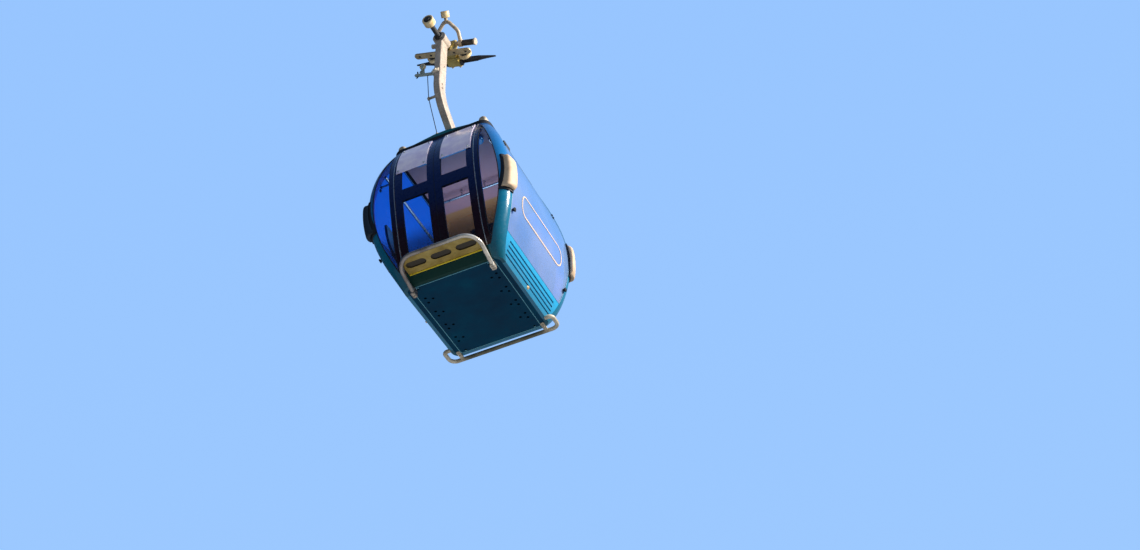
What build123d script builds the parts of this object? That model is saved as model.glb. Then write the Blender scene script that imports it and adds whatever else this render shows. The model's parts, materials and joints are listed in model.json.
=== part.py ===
"""Cable car cabin with its hanger arm and rope grip, in millimetres.

The origin is the middle of the rope in the grip's jaws. +Z is up, +X is the way
that the cabin travels, and the doors are on the -Y side. The cabin hangs plumb,
and the grip follows the rope, which runs down towards +X.
"""
import os
from math import cos, radians, sin, tan

from build123d import *

os.makedirs("parts", exist_ok=True)

# The rope and how the cabin hangs from it
rope_r = 23
rope_slope = 19
drop = 4020            # rope centre to the floor's underside
running_gap = 6        # between what turns and what stands beside it
fit_gap = 0.3          # between a piece and the seat that it lies in

# The cabin's body: height above the floor's underside, half length (X),
# half width (Y) and corner radius of each section
body_h = 2100
sections = [
    (0, 600, 700, 110),
    (350, 745, 885, 130),
    (900, 872, 955, 140),
    (1450, 822, 945, 140),
    (1850, 698, 815, 130),
    (body_h, 590, 670, 110),
]
wall = 40
glass_t = 6
glass_in = 4           # glass face behind the frame's face
hoop_depth = 150       # hoop's width on the end side
hoop_face = 105        # hoop's width on the door and back side
skirt_top = 285
groove_first = 56
groove_pitch = 52
groove_h = 20
groove_deep = 10
groove_half_x = 460
groove_half_y = 600
back_sill = 240
back_top = 1870
door_sill = 110
window_top = 2045
base_h = 60

# The doors
post_w = 60
post_x = 522           # middle of a door post
leaf_gap = 6
stile_w = 80
leaf_rail_h = 130
leaf_head_h = 70
mid_rail_low = 1030
mid_rail_h = 160
leaf_t = 34
pane_in = 12
vent_low = 1470
vent_high = 2035
vent_x0 = 85
vent_x1 = 462
vent_t = 5
vent_out = 14

# The floor, the roof and what is on them
floor_x = 1002
floor_y = 1299
floor_t = 40
hole_r = 16
hole_depth = 12
hole_gap_y = 84         # between the two outer holes of a group
hole_gap_x = 75
hole_edge = 70
group_y = 260
ceiling_t = 25
gutter_low = 2055
gutter_over = 6
gutter_out = 8
roof_half_x = 572
roof_half_y = 652
ridge_h = 100
ridge_w = 150
eave_h = 22
rail_r = 50
rail_x = 520
rail_half = 640

# The pads, the step and the back bar
pad_h = 500
pad_z = 955
pad_t = 68
pad_y0 = 795
pad_y1 = 945
pad_end = 70
backing_t = 14
tube_r = 24
step_x = 476
step_out = 1066
step_back = 625
step_high = 100
step_low = -58
step_bend = 190
plate_t = 20
oval_half = 120
oval_r = 48
oval_pitch = 300
oval_depth = 12
bar_x = 676
bar_out = 765
bar_back = 543
bar_tip = 590           # the bar's curled ends reach the skirts here
bar_z = 2
bar_bend = 85
bar_curl = 48
bracket_x = 525
bracket_w = 44
bracket_t = 12

# The seats and the rails inside
aisle_half = 290
seat_half = 740
seat_z = 440
seat_t = 45
bench_t = 25
back_low = 560
back_high = 980
back_t = 30
back_gap = 95
grab_r = 16
end_rail_x = 655
end_rail_z = 1620
end_rail_post_y = 700
back_rail_z = 790
back_rail_gap = 75
ceiling_rail_y = 205
ceiling_rail_z = 1950
cover_y = -480
cover_half = 450
cover_w = 120
cover_h = 55

# The hanger arm
arm_w = 88
arm_d = 165
arm_top_y = -395
arm_knee = (-630, -1200)
arm_foot = (-40, -1830)
knee_r = 450
door_lever_len = 270
cable_r = 5
clip_x = -128
clip_y = -640
clip_z = -1190
gland_x = -60
gland_y = -630
gland_h = 26
eye_r = 84
shaft_r = 34
beam_h = 60
beam_w = 170
beam_half = 565
foot_t = 18
foot_x = 240
foot_y = 300

# The grip, along (s), across (y) and square to (z) the rope
jaw_len = 200
jaw_wall = 30
body_len = 170
jaw_half = 52           # moving jaw, half its length
jaw_r = 55
jaw_gap = 6
boss_r = 46
boss_end = -304
lug_t = 24
lever_y = -220         # the clamp lever's shaft
lever_z = 100
lever_r = 30
lever_low = -250
lever_high = 350
yoke_half = 158
yoke_y = -500
yoke_z = 354
drive_y = -258         # the plate that drives and brakes the grip in a station
drive_z = -76
drive_half = 395
drive_shift = -35
drive_w = 88
drive_t = 20
wheel_s = 222
wheel_y = -160
wheel_z = -30
wheel_r = 67
wheel_w = 46
carrier_t = 34
carrier_h = 60
drum_y = -760
drum_r = 73
drum_w = 92
drum_pin_r = 20
axle_r = 12
tongue_len = 480
tongue_start = body_len / 2 + fit_gap
tongue_wall = 28
roller_r = 58
roller_w = 46
yoke_bar_r = 24
yoke_eye_w = 50
spring_r = 38

floor_z = -drop
roof_z = floor_z + body_h
slope = radians(rope_slope)

# Planes that follow the rope: flat on it, and beside it with its normal along -Y
rope_flat = Plane((0, 0, 0), x_dir=(cos(slope), 0, -sin(slope)), z_dir=(sin(slope), 0, cos(slope)))
rope_side = Plane((0, 0, 0), x_dir=(cos(slope), 0, -sin(slope)), z_dir=(0, -1, 0))
rope_cross = Plane((0, 0, 0), x_dir=(0, 1, 0), z_dir=(cos(slope), 0, -sin(slope)))


def write(name, piece):
    piece.label = name
    export_step(piece, f"parts/{name}.step")


def body_solid(inset, low=0, high=body_h):
    """The cabin's outer form, drawn in by inset and kept between two heights."""
    with BuildPart() as solid:
        for height, half_x, half_y, corner in sections:
            with BuildSketch(Plane.XY.offset(floor_z + height)):
                RectangleRounded(2 * (half_x - inset), 2 * (half_y - inset), max(corner - inset, 20))
        loft()
        with BuildSketch(Plane.XY.offset(floor_z + low)):
            Rectangle(4000, 4000)
        extrude(amount=high - low, mode=Mode.INTERSECT)
    return solid.part


def slab(low, high, half_x=None, half_y=None, inset_x=0, inset_y=0):
    """A block between two heights. A side without its own size follows the body."""
    with BuildPart() as solid:
        for height, body_x, body_y, _ in sections:
            with BuildSketch(Plane.XY.offset(floor_z + height)):
                Rectangle(2 * (half_x or body_x - inset_x), 2 * (half_y or body_y - inset_y))
        loft()
        with BuildSketch(Plane.XY.offset(floor_z + low)):
            Rectangle(5000, 5000)
        extrude(amount=high - low, mode=Mode.INTERSECT)
    return solid.part


def block(x0, x1, y0, y1, z0, z1):
    """A box given by its limits, with heights above the floor's underside."""
    with BuildPart(Plane.XY.offset(floor_z + z0)) as solid:
        with Locations(((x0 + x1) / 2, (y0 + y1) / 2)):
            Box(x1 - x0, y1 - y0, z1 - z0, align=(Align.CENTER, Align.CENTER, Align.MIN))
    return solid.part


def skin(outer, inner):
    """The body's wall between two insets."""
    with BuildPart() as solid:
        add(body_solid(outer))
        add(body_solid(inner), mode=Mode.SUBTRACT)
    return solid.part


far = 1500
door_side = block(-far, far, -far, 0, -100, 2600)
back_side = block(-far, far, 0, far, -100, 2600)
front_side = block(0, far, -far, far, -100, 2600)
rear_side = block(-far, 0, -far, far, -100, 2600)
groove_skin = skin(-1, groove_deep)
between_hoops = slab(0, body_h, half_x=far, inset_y=hoop_depth)
frame_skin = skin(0, wall)
glass_skin = skin(glass_in, glass_in + glass_t)

# The two hoops, at the door side and the back
hoops = [
    # name, side, sill, head
    ("hoop_door", door_side, door_sill, window_top),
    ("hoop_back", back_side, back_sill, back_top),
]
for name, side, sill, head in hoops:
    with BuildPart() as hoop:
        add(frame_skin)
        add(between_hoops, mode=Mode.SUBTRACT)
        add(side, mode=Mode.INTERSECT)
        add(slab(sill, head, half_y=far, inset_x=hoop_face), mode=Mode.SUBTRACT)
        if side is back_side:
            add(slab(0, back_sill, half_y=far, inset_x=hoop_face), mode=Mode.SUBTRACT)
    write(name, hoop.part)


def groove_cutter(count, first, half_x, half_y, side):
    """Shallow level grooves in the body's face on one side."""
    with BuildPart() as cutter:
        for i in range(count):
            low = first + groove_pitch * i
            add(block(-half_x, half_x, -half_y, half_y, low, low + groove_h))
        add(groove_skin, mode=Mode.INTERSECT)
        add(side, mode=Mode.INTERSECT)
    return cutter.part


# The end panels, a ribbed skirt below and one window above it
for name, side in [("front", front_side), ("rear", rear_side)]:
    with BuildPart() as skirt:
        add(frame_skin)
        add(slab(0, skirt_top, half_x=far, inset_y=hoop_depth + fit_gap), mode=Mode.INTERSECT)
        add(side, mode=Mode.INTERSECT)
        add(groove_cutter(4, groove_first, far, groove_half_y, side), mode=Mode.SUBTRACT)
    write(f"end_skirt_{name}", skirt.part)
    with BuildPart() as window:
        add(glass_skin)
        add(slab(skirt_top + fit_gap, window_top, half_x=far, inset_y=hoop_depth + fit_gap), mode=Mode.INTERSECT)
        add(side, mode=Mode.INTERSECT)
    write(f"end_window_{name}", window.part)

# The back panels
with BuildPart() as back_skirt:
    add(frame_skin)
    add(slab(0, back_sill - fit_gap, half_y=far, inset_x=hoop_face + fit_gap), mode=Mode.INTERSECT)
    add(back_side, mode=Mode.INTERSECT)
    add(groove_cutter(3, groove_first, groove_half_x, far, back_side), mode=Mode.SUBTRACT)
write("back_skirt", back_skirt.part)
with BuildPart() as back_window:
    add(glass_skin)
    add(slab(back_sill + fit_gap, back_top - fit_gap, half_y=far, inset_x=hoop_face + fit_gap), mode=Mode.INTERSECT)
    add(back_side, mode=Mode.INTERSECT)
write("back_window", back_window.part)

# The door side: posts, quarter windows, leaves and their windows
door_zone = slab(door_sill + fit_gap, window_top - fit_gap, half_y=far, inset_x=hoop_face + fit_gap)
post_in = post_x - post_w / 2
post_out = post_x + post_w / 2
leaf_out = post_in - leaf_gap
with BuildPart() as posts:
    add(frame_skin)
    add(door_zone, mode=Mode.INTERSECT)
    add(door_side, mode=Mode.INTERSECT)
    add(block(-post_out, post_out, -far, far, 0, body_h), mode=Mode.INTERSECT)
    add(block(-post_in, post_in, -far, far, -50, body_h + 50), mode=Mode.SUBTRACT)
write("door_posts", posts.part)
with BuildPart() as quarters:
    add(glass_skin)
    add(door_zone, mode=Mode.INTERSECT)
    add(door_side, mode=Mode.INTERSECT)
    quarter_in = post_out + fit_gap
    add(block(-quarter_in, quarter_in, -far, far, -50, body_h + 50), mode=Mode.SUBTRACT)
write("quarter_windows", quarters.part)

leaf_skin = skin(0, leaf_t)
pane_skin = skin(pane_in, pane_in + glass_t)
pane_rows = [
    # low, high
    (door_sill + leaf_rail_h, mid_rail_low),
    (mid_rail_low + mid_rail_h, window_top - leaf_head_h),
]
with BuildPart() as panes:
    add(pane_skin)
    add(door_side, mode=Mode.INTERSECT)
    pane_x0 = leaf_gap / 2 + stile_w + fit_gap
    pane_x1 = leaf_out - stile_w - fit_gap
    add(block(-pane_x1, pane_x1, -far, far, 0, body_h), mode=Mode.INTERSECT)
    add(block(-pane_x0, pane_x0, -far, far, -50, body_h + 50), mode=Mode.SUBTRACT)
    add(block(-far, far, -far, far, -50, pane_rows[0][0] + fit_gap), mode=Mode.SUBTRACT)
    add(block(-far, far, -far, far, pane_rows[0][1] - fit_gap, pane_rows[1][0] + fit_gap), mode=Mode.SUBTRACT)
    add(block(-far, far, -far, far, pane_rows[1][1] - fit_gap, body_h + 50), mode=Mode.SUBTRACT)
write("door_panes", panes.part)
for name, way in [("rear", -1), ("front", 1)]:
    limits = sorted((way * leaf_gap / 2, way * leaf_out))
    with BuildPart() as leaf:
        add(leaf_skin)
        add(door_zone, mode=Mode.INTERSECT)
        add(door_side, mode=Mode.INTERSECT)
        add(block(*limits, -far, far, 0, body_h), mode=Mode.INTERSECT)
        for low, high in pane_rows:
            inner = sorted((way * (leaf_gap / 2 + stile_w), way * (leaf_out - stile_w)))
            add(block(*inner, -far, 0, low, high), mode=Mode.SUBTRACT)
    write(f"door_leaf_{name}", leaf.part)
with BuildPart() as hollow:
    add(skin(-vent_out + vent_t, -fit_gap / 2))
    add(block(-vent_x1 + vent_t, vent_x1 - vent_t, -far, far, 0, vent_high - vent_t), mode=Mode.INTERSECT)
    add(block(-vent_x0 - vent_t, vent_x0 + vent_t, -far, far, 0, body_h + 50), mode=Mode.SUBTRACT)
vent_hollow = hollow.part
with BuildPart() as vents:
    add(skin(-vent_out, -fit_gap))
    add(door_side, mode=Mode.INTERSECT)
    add(block(-vent_x1, vent_x1, -far, far, vent_low, vent_high), mode=Mode.INTERSECT)
    add(block(-vent_x0, vent_x0, -far, far, 0, body_h + 50), mode=Mode.SUBTRACT)
    add(vent_hollow, mode=Mode.SUBTRACT)
write("vent_covers", vents.part)

# The floor: a ring inside the panels' lower edge, and the pan in it
with BuildPart() as ring:
    add(body_solid(wall + fit_gap, 0, base_h))
    with BuildSketch(Plane.XY.offset(floor_z)):
        RectangleRounded(floor_x + 2 * fit_gap, floor_y + 2 * fit_gap, 30)
    extrude(amount=base_h, mode=Mode.SUBTRACT)
write("base_ring", ring.part)

hole_spots = [(x, y) for x in (-1, 1) for y in (-1, 1)]
group_spots = [(side, row) for side in (-1, 1) for row in (-1.5, -0.5, 0.5, 1.5)]
with BuildPart() as pan:
    with BuildSketch(Plane.XY.offset(floor_z)):
        RectangleRounded(floor_x, floor_y, 30)
    extrude(amount=floor_t)
    with BuildSketch(Plane.XY.offset(floor_z)):
        for side, row in group_spots:
            outer_x = side * (floor_x / 2 - hole_edge)
            for x, y in [(outer_x, -hole_gap_y / 2), (outer_x, hole_gap_y / 2), (outer_x - side * hole_gap_x, 0)]:
                with Locations((x, row * group_y + y)):
                    Circle(hole_r)
        for x, y in hole_spots:
            with Locations((x * (floor_x / 2 - hole_edge), y * (floor_y / 2 - hole_edge / 2))):
                Circle(hole_r)
    extrude(amount=hole_depth, mode=Mode.SUBTRACT)
write("floor_pan", pan.part)

# The ceiling, the gutter and the low gable roof, with its ridge along Y
with BuildPart() as ceiling:
    add(body_solid(wall + fit_gap, gutter_low, gutter_low + ceiling_t))
write("ceiling", ceiling.part)
gutter_x = sections[-1][1] + gutter_out + 12
gutter_y = sections[-1][2] + gutter_out + 20
with BuildPart() as gutter:
    with BuildSketch(Plane.XY.offset(floor_z + gutter_low)):
        RectangleRounded(2 * gutter_x, 2 * gutter_y, sections[-1][3] + gutter_out)
    extrude(amount=body_h + gutter_over - gutter_low)
    with BuildSketch(Plane.XY.offset(roof_z)):
        RectangleRounded(2 * (roof_half_x + fit_gap), 2 * (roof_half_y + fit_gap), sections[-1][3])
    extrude(amount=gutter_over, mode=Mode.SUBTRACT)
    add(body_solid(-fit_gap), mode=Mode.SUBTRACT)
write("gutter", gutter.part)
with BuildPart() as roof:
    with BuildSketch(Plane.XY.offset(roof_z + fit_gap)):
        RectangleRounded(2 * roof_half_x, 2 * roof_half_y, sections[-1][3])
    extrude(amount=ridge_h)
    with BuildSketch(Plane.XZ.offset(-far)):
        with BuildLine():
            Polyline(
                (-roof_half_x, roof_z), (roof_half_x, roof_z), (roof_half_x, roof_z + eave_h),
                (ridge_w / 2, roof_z + ridge_h), (-ridge_w / 2, roof_z + ridge_h),
                (-roof_half_x, roof_z + eave_h), close=True,
            )
        make_face()
    extrude(amount=2 * far, mode=Mode.INTERSECT)
write("roof_cap", roof.part)

# The two rails on the roof, their caps rounded
roof_slope_h = (ridge_h - eave_h) / (roof_half_x - ridge_w / 2)
rail_z = roof_z + eave_h + (roof_half_x - rail_x) * roof_slope_h + rail_r + 3
with BuildPart() as rails:
    for x in (-rail_x, rail_x):
        with BuildSketch(Plane.XZ.offset(-rail_half)):
            with Locations((x, rail_z)):
                Circle(rail_r)
    extrude(amount=2 * rail_half)
    fillet(rails.edges().filter_by(GeomType.CIRCLE), radius=rail_r * 0.6)
    for x in (-rail_x, rail_x):
        for y in (-rail_half * 0.7, rail_half * 0.7):
            with BuildSketch(Plane.XY.offset(roof_z + eave_h)):
                with Locations((x, y)):
                    Rectangle(rail_r, 2 * rail_r)
            extrude(amount=rail_z - roof_z - eave_h)
    add(roof.part, mode=Mode.SUBTRACT)
write("roof_rails", rails.part)

# The pads on the hoops' corners, rubber on a black backing
pad_x = max(section[1] for section in sections)
for name, outer, inner in [("pads", pad_t, backing_t), ("pad_backings", backing_t, 0)]:
    with BuildPart() as pads:
        add(skin(-outer, -inner - fit_gap / 2))
        with BuildSketch(Plane.XZ.offset(-far)):
            for way in (-1, 1):
                with BuildLine():
                    Polyline(
                        (way * (pad_x - 120), floor_z + pad_z - pad_h / 2),
                        (way * (pad_x + backing_t), floor_z + pad_z - pad_h / 2),
                        (way * (pad_x + pad_t + 5), floor_z + pad_z - pad_h / 2 + pad_end),
                        (way * (pad_x + pad_t + 5), floor_z + pad_z + pad_h / 2 - pad_end),
                        (way * (pad_x + backing_t), floor_z + pad_z + pad_h / 2),
                        (way * (pad_x - 120), floor_z + pad_z + pad_h / 2),
                        close=True,
                    )
                make_face()
        extrude(amount=2 * far, mode=Mode.INTERSECT)
        add(block(-far, far, -pad_y1, pad_y1, 0, body_h), mode=Mode.INTERSECT)
        add(block(-far, far, -pad_y0, pad_y0, -50, body_h + 50), mode=Mode.SUBTRACT)
        add(block(-pad_x + 120, pad_x - 120, -far, far, -50, body_h + 50), mode=Mode.SUBTRACT)
    write(name, pads.part)

# The step under the doors: a bent tube, and the plate inside it
step_rise = step_high - step_low
step_run = step_out - step_back
step_plane = Plane(
    (0, -step_out, floor_z + step_high), x_dir=(1, 0, 0), z_dir=(0, step_rise, step_run)
)
step_leg = (step_rise ** 2 + step_run ** 2) ** 0.5
with BuildPart() as step_tube:
    with BuildLine(step_plane) as path:
        FilletPolyline((-step_x, step_leg), (-step_x, 0), (step_x, 0), (step_x, step_leg), radius=step_bend)
    with BuildSketch(Plane(path.line @ 0, z_dir=path.line % 0)):
        Circle(tube_r)
    sweep()
    for way in (-1, 1):
        with BuildSketch(Plane.XY.offset(floor_z + step_low - tube_r)):
            with Locations((way * step_x, -step_back)):
                RectangleRounded(bracket_w + 8, 90, 10)
        extrude(amount=-step_low + tube_r - fit_gap)
write("step_tube", step_tube.part)
with BuildPart() as step_plate:
    plate_half_x = step_x - tube_r - fit_gap
    with BuildSketch(Plane.XY.offset(floor_z + step_high - plate_t / 2)):
        with Locations((0, -step_out / 2)):
            Rectangle(2 * plate_half_x, step_out - 2 * (tube_r + fit_gap))
    extrude(amount=plate_t)
    outer_corners = step_plate.edges().filter_by(Axis.Z).group_by(Axis.Y)[0]
    fillet(outer_corners, radius=step_bend - tube_r)
    with BuildSketch(Plane.XY.offset(floor_z + step_high - plate_t / 2)):
        with Locations((0, -step_out + 150)):
            with GridLocations(oval_pitch, 1, 3, 1):
                SlotOverall(2 * oval_half, 2 * oval_r)
    extrude(amount=oval_depth, mode=Mode.SUBTRACT)
    add(body_solid(-fit_gap), mode=Mode.SUBTRACT)
    add(block(-far, far, -sections[0][2], far, -100, 400), mode=Mode.SUBTRACT)
write("step_plate", step_plate.part)

# The bar that guards the back's lower edge: its ends curl in to the skirts
with BuildPart() as back_bar:
    with BuildLine(Plane.XY.offset(floor_z + bar_z)) as path:
        FilletPolyline(
            (-bar_tip, bar_back), (-bar_x, bar_back), (-bar_x, bar_out),
            (bar_x, bar_out), (bar_x, bar_back), (bar_tip, bar_back),
            radius=[bar_curl, bar_bend, bar_bend, bar_curl],
        )
    with BuildSketch(Plane(path.line @ 0, z_dir=path.line % 0)):
        Circle(tube_r)
    sweep()
    add(body_solid(-fit_gap), mode=Mode.SUBTRACT)
    for way in (-1, 1):
        with BuildSketch(Plane.XY.offset(floor_z - fit_gap)):
            with Locations((way * bracket_x, (bar_out + 600) / 2)):
                RectangleRounded(bracket_w, bar_out - 600, 8)
        extrude(amount=-bracket_t)
write("back_bar", back_bar.part)

# The benches at the two ends: a front board, a seat board and a back board
for name, side, way in [("front", front_side, 1), ("rear", rear_side, -1)]:
    near = way * aisle_half
    with BuildPart() as bench:
        add(body_solid(wall + back_gap, floor_t + fit_gap, back_high))
        add(body_solid(wall + back_gap + back_t, seat_z, back_high + 50), mode=Mode.SUBTRACT)
        add(block(*sorted((near, way * far)), -seat_half, seat_half, 0, body_h), mode=Mode.INTERSECT)
        add(block(*sorted((near + way * bench_t, way * far)), -far, far, 0, seat_z - bench_t), mode=Mode.SUBTRACT)
        add(block(*sorted((0, near + way * bench_t)), -far, far, seat_z, body_h), mode=Mode.SUBTRACT)
    write(f"bench_{name}", bench.part)

cushion_y = seat_half - 30
for name, way in [("front", 1), ("rear", -1)]:
    near = way * (aisle_half + fit_gap)
    with BuildPart() as seat:
        add(body_solid(wall + back_gap + back_t + fit_gap, seat_z + fit_gap, seat_z + seat_t))
        add(block(*sorted((near, way * far)), -cushion_y, cushion_y, 0, body_h), mode=Mode.INTERSECT)
    write(f"seat_{name}", seat.part)

# The rails inside: two along the end windows, one under the ceiling, one at the back
with BuildPart() as end_rails:
    rail_end_y = sections[3][2] - wall - 75
    for x in (-end_rail_x, end_rail_x):
        with BuildSketch(Plane.XZ.offset(-rail_end_y)):
            with Locations((x, floor_z + end_rail_z)):
                Circle(grab_r)
    extrude(amount=2 * rail_end_y)
    for x in (-end_rail_x, end_rail_x):
        for y in (-end_rail_post_y, end_rail_post_y):
            with BuildSketch(Plane.YZ.offset(x)):
                with Locations((y, floor_z + end_rail_z)):
                    Circle(grab_r * 0.7)
            extrude(amount=150 if x > 0 else -150)
    add(body_solid(glass_in + glass_t + fit_gap), mode=Mode.INTERSECT)
write("end_rails", end_rails.part)
with BuildPart() as ceiling_rail:
    post_h = gutter_low - ceiling_rail_z - fit_gap
    with BuildLine(Plane.XZ.offset(-ceiling_rail_y)) as path:
        FilletPolyline(
            (-cover_half, floor_z + gutter_low - fit_gap), (-cover_half, floor_z + ceiling_rail_z),
            (cover_half, floor_z + ceiling_rail_z), (cover_half, floor_z + gutter_low - fit_gap), radius=60,
        )
    with BuildSketch(Plane(path.line @ 0, z_dir=path.line % 0)):
        Circle(grab_r)
    sweep()
    with BuildSketch(Plane.XY.offset(floor_z + ceiling_rail_z)):
        with Locations((-cover_half / 3, ceiling_rail_y), (cover_half / 3, ceiling_rail_y)):
            Circle(grab_r * 0.7)
    extrude(amount=post_h)
write("ceiling_rail", ceiling_rail.part)
with BuildPart() as back_rail:
    back_rail_y = sections[2][2] - back_rail_gap - 25
    back_rail_half = sections[2][1] - hoop_face - 120
    with BuildSketch(Plane.YZ.offset(-back_rail_half)):
        with Locations((back_rail_y, floor_z + back_rail_z)):
            Circle(grab_r)
    extrude(amount=2 * back_rail_half)
    for x in (-back_rail_half + 40, back_rail_half - 40):
        with BuildSketch(Plane.XZ.offset(-back_rail_y)):
            with Locations((x, floor_z + back_rail_z)):
                Circle(grab_r * 0.7)
        extrude(amount=-back_rail_gap - 60)
    add(body_solid(glass_in + glass_t + fit_gap), mode=Mode.INTERSECT)
write("back_rail", back_rail.part)
with BuildPart() as cover:
    with BuildSketch(Plane.XY.offset(floor_z + gutter_low - fit_gap)):
        with Locations((0, cover_y)):
            SlotOverall(2 * cover_half, cover_w)
    extrude(amount=-cover_h)
    fillet(cover.faces().sort_by(Axis.Z)[0].edges(), radius=18)
write("door_drive_cover", cover.part)

# The hanger: a beam on the roof rails, and the bent arm up to its eye
beam_z = rail_z + rail_r + fit_gap
foot_top = beam_z + beam_h + foot_t
arm_lean = (arm_foot[0] - arm_knee[0]) / (arm_knee[1] - arm_foot[1])
foot_mid = arm_foot[0] - (foot_top - arm_foot[1]) * arm_lean
with BuildPart() as beam:
    with BuildSketch(Plane.XY.offset(beam_z)):
        RectangleRounded(2 * beam_half, beam_w, 12)
    extrude(amount=beam_h)
    with BuildSketch(Plane.XY.offset(beam_z)):
        with Locations((0, foot_mid)):
            RectangleRounded(foot_x, foot_y, 20)
    extrude(amount=beam_h + foot_t)
write("hanger_beam", beam.part)
with BuildPart() as arm:
    with BuildLine(Plane.YZ) as path:
        FilletPolyline((arm_top_y, 0), arm_knee, arm_foot, radius=knee_r)
    with BuildSketch(Plane(path.line @ 0, x_dir=(1, 0, 0), z_dir=path.line % 0)):
        RectangleRounded(arm_w, arm_d, 14)
    sweep()
    with BuildSketch(Plane.XY.offset(foot_top + fit_gap)):
        Rectangle(far, 2 * far)
    extrude(amount=far * 2, mode=Mode.INTERSECT)
    with BuildSketch(Plane.XZ.offset(-arm_top_y - arm_d / 2)):
        Circle(eye_r)
    extrude(amount=arm_d)
    with BuildSketch(Plane.XZ.offset(-arm_top_y - arm_d)):
        Circle(shaft_r + fit_gap)
    extrude(amount=2 * arm_d, mode=Mode.SUBTRACT)
    with BuildSketch(Plane.XZ.offset(-arm_top_y + arm_d / 2)):
        Circle(eye_r * 1.2)
    extrude(amount=100, mode=Mode.SUBTRACT)
write("hanger_arm", arm.part)

# The lever on the arm that works the doors, and the cable down to the roof
lever_knuckle = (-arm_w / 2 - 26, -550, -695)
with BuildPart() as door_lever:
    with BuildSketch(Plane.XZ.offset(-lever_knuckle[1] - 35)):
        with Locations((lever_knuckle[0], lever_knuckle[2])):
            Circle(26)
    extrude(amount=70)
    with BuildSketch(Plane.XZ.offset(-lever_knuckle[1] - 12)):
        with Locations(Location((lever_knuckle[0], lever_knuckle[2], 0), (0, 0, -rope_slope))):
            with Locations((-door_lever_len / 2, 0)):
                SlotOverall(door_lever_len, 34)
    extrude(amount=24)
    roller_x = lever_knuckle[0] - 0.62 * door_lever_len * cos(slope)
    roller_z = lever_knuckle[2] + 0.62 * door_lever_len * sin(slope) + 40
    with BuildSketch(Plane.XZ.offset(-lever_knuckle[1] - 16)):
        with Locations((roller_x, roller_z)):
            Circle(27)
    extrude(amount=32)
    with BuildSketch(Plane.YZ.offset(-arm_w / 2 - fit_gap)):
        with Locations((lever_knuckle[1], lever_knuckle[2])):
            Circle(24)
    extrude(amount=-26)
write("door_lever", door_lever.part)


def cord_radii(points):
    """The largest arcs that the runs of a cord's route allow."""
    radii = []
    for before, corner, after in zip(points, points[1:], points[2:]):
        run_in = Vector(*corner) - Vector(*before)
        run_out = Vector(*after) - Vector(*corner)
        half_turn = radians(run_in.get_angle(run_out)) / 2
        radii.append(0.45 * min(run_in.length, run_out.length) / tan(half_turn))
    return radii


cable_hold = 0.35 * door_lever_len
cable_points = [
    (lever_knuckle[0] - cable_hold * cos(slope), lever_knuckle[1], lever_knuckle[2] + cable_hold * sin(slope) - 20),
    (-150, -585, -960),
    (clip_x, clip_y, clip_z),
    (-84, -668, -1500),
    (gland_x, gland_y, roof_z + ridge_h + gland_h + 4 * fit_gap),
]
cable_radii = cord_radii(cable_points)
print("door cable radii", [round(r) for r in cable_radii])
with BuildPart() as cable:
    with BuildLine() as path:
        FilletPolyline(*cable_points, radius=cable_radii)
    with BuildSketch(Plane(path.line @ 0, z_dir=path.line % 0)):
        Circle(cable_r)
    sweep()
write("door_cable", cable.part)
with BuildPart() as clip:
    with BuildSketch(Plane.XY.offset(clip_z - 8)):
        with Locations(((clip_x - 14 - arm_w / 2 - fit_gap) / 2, clip_y)):
            Rectangle(-arm_w / 2 - fit_gap - clip_x + 14, 30)
    extrude(amount=16)
    with BuildSketch(Plane.XY.offset(clip_z - 20)):
        with Locations((clip_x, clip_y)):
            Circle(14)
    extrude(amount=40)
    add(cable.part, mode=Mode.SUBTRACT)
write("cable_clip", clip.part)
with BuildPart() as gland:
    with BuildSketch(Plane.XY.offset(roof_z + ridge_h + fit_gap)):
        with Locations((gland_x, gland_y)):
            Circle(14)
    extrude(amount=gland_h)
write("cable_gland", gland.part)

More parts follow.
